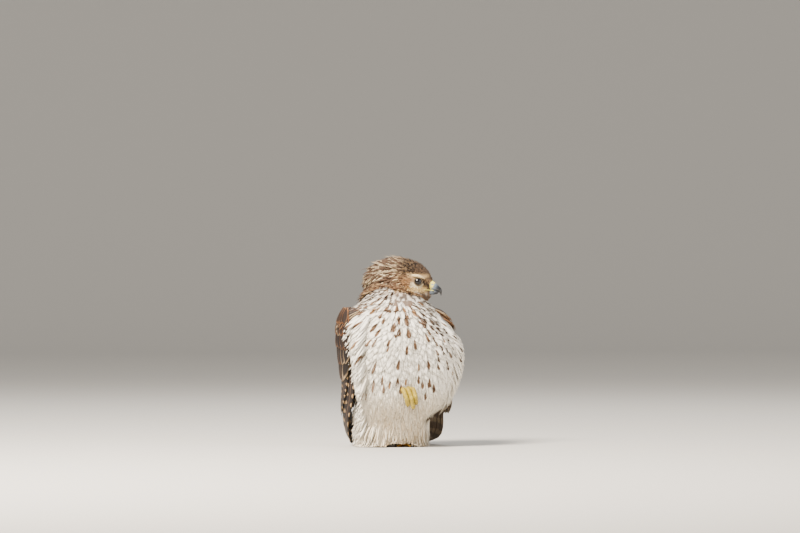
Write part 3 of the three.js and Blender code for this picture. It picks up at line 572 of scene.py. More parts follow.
class Tract:
    """Gathers blades of one piece until they are made into one mesh."""

    def __init__(self):
        self.parts = []

    def add(
        self, path, normals, width, colours, lift=0.0, columns=3, profile=pointed, thick=0.5, arch=0.14,
        tilt=0.0, bake=None, ragged=0.06, stain=None,
    ):
        """Blades along paths that are given row by row. The lift off the path is a number or an array."""
        rows, count = path.shape[:2]
        t = np.linspace(0, 1, rows)
        along = unit(np.gradient(path, axis=0), TINY)
        side = unit(np.cross(along, normals), TINY)
        up = np.cross(side, along)
        us, face = blade_ring(columns)
        half = width / 2 * profile(t)[:, None]
        half = half * (1 + ragged * chance.standard_normal((rows, count)))
        raised = np.broadcast_to(lift, (rows, count))[:, :, None]
        body = (thick * (1 - 0.75 * t)[:, None] * np.ones(count))[:, :, None]
        height = raised + body / 2 * face - (arch * half)[:, :, None] * us**2 + (tilt * half)[:, :, None] * us
        points = path[:, :, None, :] + side[:, :, None, :] * (half[:, :, None] * us)[..., None]
        points = points + up[:, :, None, :] * height[..., None]
        points[..., 2] = np.maximum(points[..., 2], FLOOR_GAP)
        wide, middle, long = np.broadcast_to(colours["spot"], (count, 3)).T[:, :, None]
        spots = np.zeros(points.shape)
        spots[..., 0] = us / wide
        spots[..., 1] = (t[:, None, None] - middle) / long
        mark = colours["mark"]
        if stain is not None:
            spots, mark = stain(points, wide, spots, mark)
        if bake is None:
            bake = np.stack([chance.random(count), chance.random(count)], -1)
        part = {"points": points, "spots": spots, "us": us, "t": t, "bake": bake}
        for label, colour in (("edge", colours["edge"]), ("mark", mark)):
            part[label] = np.broadcast_to(colour, (count, 3))
        self.parts.append(part)

    def arrays(self):
        """Vertices, face loops, face sizes and what the corners and the vertices carry."""
        found = {label: [] for label in ("places", "loops", "sizes", "Vane", "OFBake", "Edge", "Mark", "Spot")}
        first = 0
        for part in self.parts:
            rows, count, ring, _ = part["points"].shape
            number = (np.arange(count)[:, None, None] * rows + np.arange(rows)[:, None]) * ring + np.arange(ring)
            low, high = number[:, :-1], number[:, 1:]
            quads = np.stack([low, high, np.roll(high, -1, axis=2), np.roll(low, -1, axis=2)], -1)
            flat = np.concatenate([quads.ravel(), number[:, 0].ravel(), number[:, -1, ::-1].ravel()])
            across = np.broadcast_to((part["us"] + 1) / 2, number.shape)
            along = np.broadcast_to(part["t"][:, None], number.shape)
            own = np.stack([across.ravel(), along.ravel()], -1)
            patch = np.repeat(part["bake"], rows * ring, axis=0) * 0.99 + BAKE_PATCH * own
            found["places"].append(part["points"].transpose(1, 0, 2, 3).reshape(-1, 3) / 1000)
            found["loops"].append(flat + first)
            found["sizes"].append(np.concatenate([np.full(quads.size // 4, 4), np.full(2 * count, ring)]))
            found["Vane"].append(own[flat])
            found["OFBake"].append(patch[flat])
            found["Edge"].append(np.repeat(part["edge"], rows * ring, axis=0))
            found["Mark"].append(np.repeat(part["mark"], rows * ring, axis=0))
            found["Spot"].append(part["spots"].transpose(1, 0, 2, 3).reshape(-1, 3))
            first += count * rows * ring
        return {label: np.concatenate(values) for label, values in found.items()}

    def made(self, name, paint):
        """One mesh of all blades, with its maps and colours."""
        found = self.arrays()
        sizes = found["sizes"]
        mesh = bpy.data.meshes.new(name)
        mesh.vertices.add(len(found["places"]))
        mesh.vertices.foreach_set("co", found["places"].astype(np.float32).ravel())
        mesh.loops.add(len(found["loops"]))
        mesh.loops.foreach_set("vertex_index", found["loops"].astype(np.int32))
        mesh.polygons.add(len(sizes))
        mesh.polygons.foreach_set("loop_start", np.concatenate([[0], np.cumsum(sizes)[:-1]]).astype(np.int32))
        mesh.polygons.foreach_set("use_smooth", np.ones(len(sizes), bool))
        mesh.update(calc_edges=True)
        for label in ("Vane", "OFBake"):
            layer = mesh.uv_layers.new(name=label)
            layer.data.foreach_set("uv", found[label].astype(np.float32).ravel())
        for label in ("Edge", "Mark", "Spot"):
            attribute = mesh.attributes.new(label, "FLOAT_VECTOR", "POINT")
            attribute.data.foreach_set("vector", found[label].astype(np.float32).ravel())
        mesh.validate()
        piece = bpy.data.objects.new(name, mesh)
        bpy.context.scene.collection.objects.link(piece)
        mesh.materials.append(paint.material)
        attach(piece, "root")
        print(name, "triangles", int((sizes - 2).sum()))
        return piece


# %% [markdown]
# Each blade is dyed a little lighter or darker than the next. Its mark is a teardrop, given by three numbers:
# half its width, its middle and half its length, as shares of the blade.

# %% Dyes
NO_MARK = np.array([0.001, 0.8, 0.2])


def dyed(count, edge, mark, spot, vary=0.06):
    edge = np.broadcast_to(edge, (count, 3)) * (1 + vary * chance.standard_normal((count, 1)))
    mark = np.broadcast_to(mark, (count, 3)) * (1 + vary * chance.standard_normal((count, 1)))
    return {"edge": np.clip(edge, 0, 1), "mark": np.clip(mark, 0, 1), "spot": np.broadcast_to(spot, (count, 3))}


# %% [markdown]
# ## Feather material
# Keratin barbs, matte and soft, IOR about 1.55. The colours of the blade's edge and of its mark come from the
# blade itself. Each vertex carries its place across and along the teardrop, where 1 is its edge, so the mark's
# outline stays sharp between vertices. Real barbs stand about 0.3 mm apart. They are drawn about 1.2 mm apart
# here, because finer ones would not show.

# %% Plumage
def vane_of(paint):
    """The share across a blade from its shaft, and the share along it."""
    split = paint.parted(paint.put("ShaderNodeUVMap", uv_map="Vane").outputs["UV"])
    across = paint.maths("ABSOLUTE", paint.maths("MULTIPLY_ADD", split[0], 2.0, -1.0))
    return across, split[1]


def barbed(paint, colour, vane, lean, barbs, shaft, rib, show, dark, relief, bump):
    """Draws slanted barbs and a shaft over a blade's colour, and raises both."""
    across, along = vane
    slant = paint.maths("MULTIPLY_ADD", across, lean, along)
    wave = paint.maths("SINE", paint.maths("MULTIPLY", slant, barbs * 2 * math.pi))
    ridge = paint.span(across, *rib, 1.0, 0.0)
    colour = paint.darkened(colour, paint.span(wave, -1.0, 1.0, dark, 1.0))
    paint.coloured(paint.blended(paint.maths("MULTIPLY", ridge, show), colour, linear(shaft)))
    paint.bumped(paint.maths("MULTIPLY_ADD", wave, relief, ridge), *bump)


def plumage(name, roughness, shaft, barbs=26.0):
    paint = Finish(name, Roughness=roughness, IOR=1.55, Specular_IOR_Level=0.22)
    vane = vane_of(paint)
    across, place = paint.parted(paint.carried("Spot", "Vector"))[:2]
    taper = paint.maths("MAXIMUM", paint.maths("MULTIPLY_ADD", place, 0.32, 0.72), 0.2)
    wide = paint.maths("DIVIDE", across, taper)
    reach = paint.maths("ADD", paint.maths("MULTIPLY", wide, wide), paint.maths("MULTIPLY", place, place))
    colour = paint.blended(paint.span(reach, 0.75, 1.15, 1.0, 0.0), paint.carried("Edge"), paint.carried("Mark"))
    barbed(paint, colour, vane, -0.35, barbs, shaft, (0.03, 0.1), 0.35, 0.86, 0.3, (0.35, 0.0004))
    return paint


soft_plumage = plumage("soft_breast_feather", 0.85, "#e6dccb")
head_plumage = plumage("hair_fine_head_feather", 0.8, "#5b4738", 14.0)
covert_plumage = plumage("stiff_covert_feather", 0.6, "#2e231c")

# %% [markdown]
# ## Markings
# A young bird of this kind is white below, with brown drops in rows that fan out from the throat, longer ones
# down the flank on its right, smaller and darker ones on its left breast, and a plain cream belly. Its back is
# brown with pale edges. One function gives the colours at any place of the body, so the skin below and the
# feathers above agree.

# %% Body markings
WHITE = shade("#fcf7ec")
CREAM = shade("#e9dcc2")
TAN = shade("#cfb78f")
WARM_BROWN = shade("#7b5335")
BUFF = shade("#86684a")
BACK_BROWN = shade("#3a2a20")
BACK_EDGE = shade("#7d5f45")
BACK_MARK = np.array([1.05, 0.42, 0.62])


def body_colours(tips):
    """Edge, mark and spot for feathers whose visible ends lie at tips."""
    count = len(tips)
    z = tips[:, 2]
    off = body_angle(tips) + 4 * chance.standard_normal(count)
    far = np.abs(off)
    luck = chance.random(count)
    low = smooth(112, 60, z) * smooth(80, 30, far)
    edge = mix(WHITE, CREAM, np.clip(0.6 * low + 0.16 * chance.random(count), 0, 1)[:, None])
    edge = mix(edge, TAN, (0.5 * smooth(66, 20, z) * chance.random(count) + 0.4 * low * (luck > 0.6))[:, None])
    back = ((far > 104) & (z > 62 + 16 * chance.random(count)))[:, None]
    edge = np.where(back, mix(BACK_EDGE, CREAM, 0.35 * chance.random((count, 1))), edge)
    buff = mix(WHITE, BUFF, (0.1 + 0.6 * chance.random((count, 1))) * smooth(236, 254, z)[:, None])
    ruff = (smooth(232, 246, z) > chance.random(count))[:, None]
    edge = np.where(ruff & ~back, buff, edge)
    return {"edge": edge, "mark": np.where(back, BACK_BROWN, WARM_BROWN), "spot": np.where(back, BACK_MARK, NO_MARK)}


# %% [markdown]
# The drops lie across many feathers and barbs, so they are kept as a list of places on the skin, each with its
# direction, size and colour. Whatever is laid over such a place takes its colour.

# %% Places and sizes of the drops
def drop_list():
    """Angle and height, half length, half width and colour of each drop."""
    rows = []
    for i, height in enumerate(np.arange(88, 270, 9.5)):
        around = np.arange(-106, 106, 9.0 if height < 236 else 6.5) + (4.5 if i % 2 else 0)
        around = around + 1.8 * chance.standard_normal(len(around))
        level = height + 2.5 * chance.standard_normal(len(around))
        upper, ruff = smooth(165, 205, level), smooth(238, 252, level)
        left, right = smooth(14, 38, around), smooth(-20, -44, around)
        likely = 0.24 + 0.28 * upper + 0.8 * left * smooth(120, 150, level) + 0.16 * right
        likely *= smooth(84, 104, level + 25 * right)
        likely = np.where((around > 26) & (level < 135), 0.08, likely)
        likely = np.where((np.abs(around) < 22) & (level < 160), 0.2, likely)
        here = chance.random(len(around)) < mix(likely, 0.85, ruff)
        size = 0.75 + 0.5 * chance.random(len(around))
        long = mix(8.0, 8.2, upper) * mix(1, 0.72, left) * mix(1, 1.45, right * (1 - upper)) * size
        wide = mix(3.1, 5.2, upper) * mix(1, 0.95, left) * mix(1, 0.8, right) * mix(1, 0.62, ruff) * size
        dark = 0.15 + 0.6 * left + 0.25 * chance.random(len(around))
        tint = mix(shade("#75573e"), shade("#4c3a2d"), dark[:, None])
        tint = mix(tint, shade("#33231a"), 0.85 * ruff[:, None])
        pale = (chance.random(len(around)) < 0.12 * (1 - ruff))[:, None]
        tint = np.where(pale, shade("#8f6a45"), tint)
        rows.append(np.column_stack([around + 270, level, long, wide, tint])[here])
    return np.concatenate(rows)


drops = drop_list()
DROP_LONG, DROP_WIDE, DROP_TINT = drops[:, 2], drops[:, 3], drops[:, 4:]
DROP_AT = body_point(drops[:, 0], drops[:, 1], 0)
outwards = body_point(drops[:, 0], drops[:, 1], 1) - DROP_AT
falling = body_flow(DROP_AT)
along, square = np.sum(falling * outwards, axis=1)[:, None], np.sum(outwards * outwards, axis=1)[:, None]
DROP_WAY = unit(falling - outwards * along / square)
DROP_SIDE = unit(np.cross(outwards, DROP_WAY))
print("drops on the breast:", len(DROP_AT))


# %% Finding the drop under a blade
def drop_place(points, which):
    """Where points lie in the drops of these numbers: across and along, 1 at the edge."""
    off = points - DROP_AT[which]
    across = np.sum(off * DROP_SIDE[which], axis=-1) / DROP_WIDE[which]
    along = np.sum(off * DROP_WAY[which], axis=-1) / DROP_LONG[which]
    return across, along


def nearest_drop(points):
    far = (points**2).sum(1)[:, None] + (DROP_AT**2).sum(1) - 2 * points @ DROP_AT.T
    which = np.argmin(far, axis=1)
    return which, np.sqrt(np.maximum(far[np.arange(len(points)), which], 0))


def stained(points, wide, spots, mark):
    """Spot places and mark colours of blades that lie over a drop. The rest keep their own."""
    which, far = nearest_drop(points[int(len(points) * 0.7)].mean(axis=1))
    over = (far < 17) & (wide[:, 0] < 0.5)
    across, along = drop_place(points, which[None, :, None])
    dropped = np.stack([across, along, 0 * along], -1)
    return np.where(over[None, :, None, None], dropped, spots), np.where(over[:, None], DROP_TINT[which], mark)


# %% [markdown]
# Head markings: a dark crown streaked with buff, cream and brown plumes on the nape, a pale brow, a dark line
# from the eye to the gape, a rufous patch behind the eye, a buff cheek and a dark chin.

# %% Head markings
def face_zones(x, z):
    """Shares, edge colours, mark colours and mark widths of the head's zones, one laid over the other."""
    high = z - SKULL_MIDDLE
    dx, dz = x - EYE["x"], z - EYE["z"]
    t = np.clip(((x - 35) * 11 + z * -13) / (11**2 + 13**2), 0, 1)
    line = np.hypot(x - 35 - 11 * t, z + 13 * t)
    brow = 0.75 * smooth(-14, -6, dx) * smooth(19, 12, dx) * smooth(5, 7.5, dz) * smooth(14, 10.5, dz)
    cheek = smooth(-16, -11, dx) * smooth(17, 12, dx) * smooth(-6, -8, dz) * smooth(-19, -15, dz)
    behind = 0.75 * smooth(-20, -15, dx) * smooth(-6, -9, dx) * smooth(-13, -9, dz) * smooth(8, 4, dz)
    return [
        (smooth(6, 20, high) * smooth(-10, 12, x), "#8f7350", "#241a14", 0.6),
        (smooth(-22, -6, z) * smooth(14, -8, x), "#dfcba6", "#4a3325", 0.52),
        (smooth(-34, -56, x) * smooth(-2, -16, z), "#b89c78", "#463325", 0.6),
        (smooth(14, 24, x) * smooth(5, 11, z), "#755a40", "#1f1712", 0.6),
        (smooth(36, 43, x) * smooth(-4, 3, z), "#6f5640", "#2a1f18", 0.6),
        (smooth(-9, -20, z) * smooth(8, 18, x), "#8a6c50", "#4b382c", 0.66),
        (brow, "#d8bf90", "#a98657", 0.35),
        (cheek, "#d3b67c", "#b4935c", 0.3),
        (behind, "#8f6238", "#573722", 0.5),
        (smooth(11, 9, np.hypot(dx, dz)) * smooth(0, -3, dz), "#ecdcb8", "#dcc69a", 0.2),
        (smooth(3.2, 1.6, line) * (x > 32), "#3a2a20", "#2c201a", 0.7),
        (smooth(-20, -30, z) * smooth(26, 12, x), "#b2936c", "#4e3626", 0.6),
    ]


def head_colours(points):
    q = in_head(points)
    edge = np.tile(shade("#c7a678"), (len(points), 1))
    mark = np.tile(shade("#6b4c35"), (len(points), 1))
    spot = np.tile(np.array([0.5, 0.5, 0.62]), (len(points), 1))
    for where, edge_hex, mark_hex, width in face_zones(q[:, 0], q[:, 2]):
        share = np.clip(where, 0, 1)[:, None]
        edge = mix(edge, shade(edge_hex), share)
        mark = mix(mark, shade(mark_hex), share)
        spot[:, :1] = mix(spot[:, :1], width, share)
    return {"edge": edge, "mark": mark, "spot": spot}


# %% [markdown]
# The skin carries the same colours as the coat above it, so that no bare patch shows between two feathers.

# %% Skin colour
skin_paint = body_colours(skin_points)
face_paint = head_colours(skin_points)
on_head = smooth(252, 264, skin_points[:, 2])[:, None]
which, far = nearest_drop(skin_points)
across, along = drop_place(skin_points, which)
under_drop = (1 - smooth(0.7, 1.3, across**2 + along**2))[:, None] * (far < 20)[:, None]
plain = mix(skin_paint["edge"], DROP_TINT[which], 0.9 * under_drop)
plain = np.where(skin_paint["spot"][:, :1] > 0.7, mix(skin_paint["edge"], skin_paint["mark"], 0.8), plain)
face = mix(face_paint["edge"], face_paint["mark"], 0.6)
skin_tone = mix(plain, face, on_head) * 0.8
attribute = skin.data.attributes.new("Tone", "FLOAT_VECTOR", "POINT")
attribute.data.foreach_set("vector", skin_tone.astype(np.float32).ravel())

down = Finish("down_covered_skin", Roughness=0.95, IOR=1.45)
fluff = down.noise(600, 4)
down.coloured(down.darkened(down.carried("Tone"), down.span(fluff, 0.0, 1.0, 0.75, 1.05)))
down.bumped(fluff, 0.6, 0.001)
skin.data.materials.clear()
skin.data.materials.append(down.material)
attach(skin, "root")
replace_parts(skin, "torso", "neck", "head")


# %% [markdown]
# ## Breast, belly and back
# Rows of roots run round the body, each row set half a space on from the last. Where a folded wing hides the
# body, no feathers are laid, and at the front the coat ends higher, to leave room for the toes.

# %% Where the body coat lies
def rows_round(heights, spacing, jitter=0.3):
    """Roots in rows round the body: angle and height of each."""
    angles, levels = [], []
    for i, height in enumerate(heights):
        ring = body_point(np.linspace(0, 360, 73), np.full(73, height))
        around = np.linalg.norm(np.diff(ring, axis=0), axis=1).sum()
        count = max(int(around / spacing), 3)
        step = 360 / count
        angles.append(step * (np.arange(count) + 0.5 * (i % 2)) + jitter * step * chance.standard_normal(count) * 0.6)
        levels.append(height + jitter * spacing * 0.5 * chance.standard_normal(count))
    return np.concatenate(angles), np.concatenate(levels)


def body_bake(angle, height):
    return np.stack([(np.asarray(angle) % 360) / 360, np.clip(np.asarray(height) / 275, 0, 1)], -1)


def wing_covers(angle, height):
    """True where a folded wing hides the body."""
    a = np.asarray(angle) % 360
    left = (a > 352) | (a < 46)
    right = (a > 134) & (a < 198)
    return (left | right) & (height > 84) & (height < 200)


def hem_gap(angle):
    """How far above the floor the coat ends."""
    off = np.abs((np.asarray(angle) - 90) % 360 - 180)
    return mix(2.4, 10.0, smooth(30, 16, off))


def on_face(roots):
    q = in_head(roots)
    return (q[:, 0] > 0) & (roots[:, 2] > 247)


# %% One layer of the body coat
ROOT_SINK = 2.5


def body_layer(name, heights, spacing, length, width, stand, rows=6, wild=0.07, thick=0.3, **shape):
    tract = Tract()
    angle, height = rows_round(heights, spacing)
    keep = ~wing_covers(angle, height) & (height > hem_gap(angle) + 3)
    angle, height = angle[keep], height[keep]
    count = len(angle)
    size = length(height) * (0.88 + 0.24 * chance.random(count))
    size = np.minimum(size, height - hem_gap(angle) + 2)
    path, normals = laid(body_point(angle, height, -COAT_DEEP), size, rows, wild * chance.standard_normal(count))
    keep = ~on_face(path[0])
    path, normals, angle, height = path[:, keep], normals[:, keep], angle[keep], height[keep]
    count = len(angle)
    colours = body_colours(path[int(rows * 0.7)])
    t = np.linspace(0, 1, rows)[:, None]
    raised = mix(-ROOT_SINK, stand * (0.75 + 0.5 * chance.random(count)), t**0.9)
    size = width(height) * (0.85 + 0.3 * chance.random(count))
    bake = body_bake(angle, height)
    tract.add(path, normals, size, colours, raised, bake=bake, thick=thick, arch=0.05, stain=stained, **shape)
    tract.made(name, soft_plumage)


# %% [markdown]
# Under the marked feathers lies a closer layer of plain ones, which fills the gaps. Over them lie fine strands,
# the loose ends of barbs. They blur the feathers' edges, as down does in life, and are longest over the belly
# and thighs.

# %% Body coat
long_body = through([[10, 18], [60, 34], [120, 42], [190, 37], [235, 26], [262, 16]])
wide_body = through([[10, 6], [60, 7.5], [120, 9.4], [190, 9.6], [235, 8], [262, 5.5]])
body_layer(
    "under_feathers", np.arange(16, 274, 8.0), 6.4, lambda h: long_body(h)[0] * 0.8, lambda h: wide_body(h)[0] * 1.1,
    3.2,
)
body_layer(
    "breast_feathers", np.arange(26, 274, 9.0), 6.6, lambda h: long_body(h)[0], lambda h: wide_body(h)[0], 4.0,
    columns=4,
)
body_layer(
    "breast_barbs", np.arange(84, 272, 3.2), 4.3, lambda h: 25 - 0.02 * h, lambda h: 1.6 + 0 * h, 4.9, rows=4,
    wild=0.15, profile=strand,
)
body_layer(
    "belly_plumes", np.arange(13, 118, 3.6), 3.6, lambda h: 20 + 0.15 * h, lambda h: 2.0 + 0 * h, 6.2, rows=5,
    wild=0.17, thick=0.6, profile=strand,
)


# %% [markdown]
# Feathers that leave the body are laid on paths of their own: the hem that hangs to the floor, wider on the bird's
# right, the ruffled flanks that fall over the front of both wings, and a few long wisps at the left flank. Their
# paths are given by angle, height and how far out they stand.

# %% Hem and flanks
def free_layer(tract, angle, height, swing, fall, out, width, rows=6, bend=1.0):
    """Blades from a root at angle and height that turn by swing, fall and rise to out."""
    count = len(angle)
    t = np.linspace(0, 1, rows)[:, None]
    gap = hem_gap(angle)
    level = np.maximum(height - fall * t, gap - 0.8 - 3 * chance.random(count) * (gap > 6))
    rise = mix(-COAT_DEEP - 1, out, t**bend)
    path = body_point(angle + swing * t, level, rise)
    normals = path - body_point(angle + swing * t, level, rise - 1)
    colours = body_colours(path[-1])
    size = width * (0.8 + 0.4 * chance.random(count))
    tract.add(path, normals, size, colours, thick=0.45, bake=body_bake(angle, height), stain=stained)


flanks = Tract()
HEM_COUNT = 900
angle = 360 * chance.random(HEM_COUNT)
spread = 15 * np.exp(-(((angle - 208 + 180) % 360 - 180) / 34) ** 2)
height = 20 + 26 * chance.random(HEM_COUNT)
swing = 3 * chance.standard_normal(HEM_COUNT)
fall = 26 + 22 * chance.random(HEM_COUNT)
free_layer(flanks, angle, height, swing, fall, 2 * chance.standard_normal(HEM_COUNT) + spread, 3.4)
# lowest, highest, first and last angle, swing, how far out, how many
RUFFLES = [
    (112, 226, 204, 224, -9, 13, 330),
    (88, 232, 318, 346, 13, 5.5, 420),
    (80, 125, 345, 372, 6, 6, 240),
    (30, 96, 182, 208, -3, 14, 300),
]
for low, high, first, last, swing, out, number in RUFFLES:
    height = mix(low, high, chance.random(number))
    angle = mix(first, last, chance.random(number))
    rise = out * (0.75 + 0.35 * chance.random(number)) * smooth(247, 228, height)
    turn = swing * (0.5 + 0.8 * chance.random(number))
    free_layer(flanks, angle, height, turn, 22 + 16 * chance.random(number), rise, 7.0, rows=7, bend=0.8)

# %% Wisps at the left flank
WISPS = 26
WISP_FAR = 99.5
t = np.linspace(0, 1, 5)[:, None]
angle, height = mix(346, 354, chance.random(WISPS)), mix(92, 118, chance.random(WISPS))
root = body_point(angle, height, -2)
way = np.stack([
    0.75 + 0.2 * chance.random(WISPS),
    -0.1 + 0.3 * chance.standard_normal(WISPS),
    0.5 * chance.standard_normal(WISPS),
], -1)
reach = np.minimum(18.0, (WISP_FAR - root[:, 0]) / way[:, 0])
wisp = root + way * t[:, :, None] * reach[:, None] + np.array([0, 0, -5.0]) * t[:, :, None] ** 2
front = np.broadcast_to(np.array([0.2, -1.0, 0.1]), wisp.shape)
colours = dyed(WISPS, shade("#d8d6d2"), WHITE, NO_MARK)
flanks.add(wisp, front, 0.55, colours, profile=strand, thick=0.3, bake=body_bake(angle, height))
flanks.made("hem_and_flank_feathers", soft_plumage)

# %% [markdown]
# The shoulder feathers fall from the back over the top of each wing, so that wing and body read as one.

# %% Shoulder feathers
SHOULDER_COUNT = 230
shoulders = Tract()
t = np.linspace(0, 1, 7)[:, None]
for low, high, swing in ((134, 199, -3), (-14, 46, 3)):
    angle = mix(low, high, chance.random(SHOULDER_COUNT))
    height = 222 + 18 * chance.random(SHOULDER_COUNT)
    level = height - (16 + 18 * chance.random(SHOULDER_COUNT)) * t
    rise = mix(-COAT_DEEP, 6 + 6 * chance.random(SHOULDER_COUNT), smooth(0, 0.8, t))
    path = body_point(angle + swing * t, level, rise)
    normals = path - body_point(angle + swing * t, level, rise - 1)
    colours = dyed(SHOULDER_COUNT, shade("#8a6445"), shade("#2b1f18"), np.array([0.95, 0.42, 0.62]), 0.2)
    pale = chance.random((SHOULDER_COUNT, 1)) < 0.3
    colours["edge"] = np.where(pale, shade("#cdb592"), colours["edge"])
    size = 9 + 4 * chance.random(SHOULDER_COUNT)
    bake = body_bake(angle, height)
    shoulders.add(path, normals, size, colours, columns=5, thick=0.4, arch=0.08, profile=rounded, bake=bake)
shoulders.made("shoulder_feathers", covert_plumage)

# %% [markdown]
# ## Head coat
# Feathers are shortest round the bill and eye, a few millimetres, and grow to two centimetres on the nape,
# where a ruffled bird's stand off like a loose mane.

# %% Where the head coat lies
head_long = through([[-66, 17], [-45, 19], [-20, 16], [0, 12], [18, 7.5], [32, 4.6], [44, 3.2], [49, 2.6]])
head_stand = through([[-66, 5.5], [-45, 6.5], [-20, 5.6], [0, 4.2], [18, 2.6], [32, 1.9], [44, 1.5], [49, 1.2]])


def head_roots(places, spacing):
    """Place along the head and angle of roots in rings round it."""
    xs, angles = [], []
    for i, x in enumerate(places):
        ring = head_point(np.full(49, x), np.linspace(0, 360, 49))
        around = np.linalg.norm(np.diff(ring, axis=0), axis=1).sum()
        count = max(int(around / spacing(x)), 6)
        xs.append(x + 0.3 * spacing(x) * chance.standard_normal(count))
        angles.append(360 * (np.arange(count) + 0.5 * (i % 2)) / count + 60 / count * chance.standard_normal(count))
    return np.concatenate(xs), np.concatenate(angles)


def feathered(q, world):
    """True for roots clear of the eye, the bill and the body coat."""
    ball = np.linalg.norm((q - np.array([EYE["x"], 0, EYE["z"]])) * np.array([1, 0, 1]), axis=1)
    clear = (ball > EYE["opening"] + 0.9) | (np.abs(q[:, 1]) < 8)
    bill = (q[:, 0] > 47.4) & (q[:, 2] < 1.5) & (q[:, 2] > -27) & (np.abs(q[:, 1]) < 9.0)
    return clear & ~bill & (world[:, 2] > 247)


# %% One layer of the head coat
def head_layer(tract, places, spacing, scale=1.0, stand=1.0, keep=None, rows=5, slim=0.27, wild=0.1):
    x, angle = head_roots(places, spacing)
    q = head_point(x, angle, -head_deep(x))
    world = from_head(q)
    free = feathered(q, world)
    if keep is not None:
        free &= keep(q)
    x, angle, q, world = x[free], angle[free], q[free], world[free]
    count = len(x)
    size = head_long(x)[0] * scale * (0.8 + 0.4 * chance.random(count))
    size *= 1 - 0.55 * np.exp(-((np.hypot(q[:, 0] - EYE["x"], q[:, 2] - EYE["z"]) / 12) ** 2))
    cling = mix(0.8, 1.0, smooth(-20, 10, x))
    path, normals = laid(world, size, rows, wild * chance.standard_normal(count), cling)
    colours = head_colours(world)
    tone = 1 + 0.12 * chance.standard_normal((count, 1))
    dark = chance.random((count, 1)) < 0.62 * np.maximum(smooth(24, 4, x), smooth(3, 9, q[:, 2]))[:, None]
    edge = np.where(dark, mix(colours["edge"], colours["mark"], 0.92), colours["edge"])
    colours["edge"] = np.clip(edge * tone, 0, 1)
    t = np.linspace(0, 1, rows)[:, None]
    raised = mix(-0.8, stand * head_stand(x)[0] * (0.5 + chance.random(count)), t**1.1)
    bake = np.stack([(angle % 360) / 360, np.clip((x + 70) / 120, 0, 1)], -1)
    tract.add(path, normals, np.maximum(size * slim, 1.1), colours, raised, bake=bake, thick=0.35)


head_coat = Tract()
head_layer(head_coat, np.arange(-60, 49.4, 2.6), lambda x: mix(3.9, 2.0, float(smooth(-30, 34, x))))
head_coat.made("head_feathers", head_plumage)
mane = Tract()
nape = {"scale": 1.25, "stand": 1.2, "slim": 0.2, "wild": 0.2, "keep": lambda q: q[:, 2] > -24 + 0.3 * q[:, 0]}
crest = {"scale": 1.45, "stand": 1.8, "slim": 0.16, "wild": 0.18, "keep": lambda q: q[:, 2] > 14}
head_layer(mane, np.arange(-60, 14, 3.6), lambda x: 5.2, **nape)
head_layer(mane, np.arange(-46, 2, 6.0), lambda x: 8.0, **crest)
mane.made("nape_plumes", head_plumage)

# %% [markdown]
# ## Wings
# A folded wing is a stack of tiers. From the shoulder down lie the lesser, median and greater coverts, each a
# row of tiles, then the long secondaries, and under them the primaries, whose tips reach the tail. The wing
# lies on a shell that wraps the flank, the same one that carries the solids.

# %% Wing shell
# height, centre x, half width, front, back
WING = through([
    [6, 5, 84, 48, 150], [12, 5, 88, 52, 128], [22, 3, 92, 58, 108], [40, -1, 94, 66, 96], [60, -4, 93, 76, 88],
    [90, -6, 90, 86, 80], [120, -8, 89, 92, 74], [150, -9.5, 89.5, 95, 71], [180, -13, 87.5, 93, 69],
    [205, -16, 81, 84, 65], [225, -17, 70.5, 72, 58], [240, -17, 57, 58, 50],
])


def wing_point(side, degrees, height, out=0.0):
    x, half, front, back = WING(height)
    s, c = sin_cos(degrees)
    return np.stack([x + side * (half + out) * c, (np.where(s > 0, back, front) + out) * s, height], -1)


def wing_normal(side, degrees, height):
    turn = wing_point(side, degrees + 0.5, height) - wing_point(side, degrees - 0.5, height)
    climb = wing_point(side, degrees, height + 0.5) - wing_point(side, degrees, height - 0.5)
    normal = unit(np.cross(turn, climb))
    away = wing_point(side, degrees, height, 1.0) - wing_point(side, degrees, height)
    return normal * np.sign(np.sum(normal * away, axis=-1))[..., None]


# %% [markdown]
# Each tier lies between a front and a back line of the shell. A line gives an angle and a height at each share of
# its length, so a quill between the two is found by mixing them.

# %% Front and back lines
PRIMARY_FRONT = {
    LEFT: through([
        [0, -8, 196], [0.25, 4, 140], [0.45, 16, 96], [0.62, 29, 62], [0.75, 33, 36], [0.88, 37, 17], [1, 44, 9.5],
    ]),
    RIGHT: through([
        [0, -20, 196], [0.25, -18, 140], [0.45, -14, 96], [0.62, -8, 62], [0.75, 4, 36], [0.88, 22, 18],
        [1, 41, 9.5],
    ]),
}
PRIMARY_BACK = {
    LEFT: through([[0, 30, 168], [0.3, 42, 122], [0.6, 56, 62], [0.8, 60, 28], [1, 63, 9.5]]),
    RIGHT: through([[0, 16, 168], [0.3, 24, 122], [0.6, 42, 62], [0.8, 54, 28], [1, 62, 9.5]]),
}
SECONDARY_FRONT = {
    LEFT: through([[0, 0, 156], [0.4, 6, 112], [0.75, 16, 72], [1, 24, 46]]),
    RIGHT: through([[0, -12, 156], [0.4, -6, 112], [0.75, 8, 72], [1, 22, 44]]),
}
SECONDARY_BACK = through([[0, 60, 162], [0.4, 66, 128], [0.75, 66, 92], [1, 63, 62]])
COVERT_FRONT = {
    LEFT: through([[0, -2, 214], [0.3, -11, 192], [0.7, -10, 150], [1, 2, 112]]),
    RIGHT: through([[0, -14, 224], [0.3, -23, 198], [0.7, -22, 150], [1, -10, 112]]),
}
COVERT_BACK = through([[0, 52, 226], [0.5, 58, 176], [1, 58, 120]])

# %% One tier of quills
LAP = 1.1


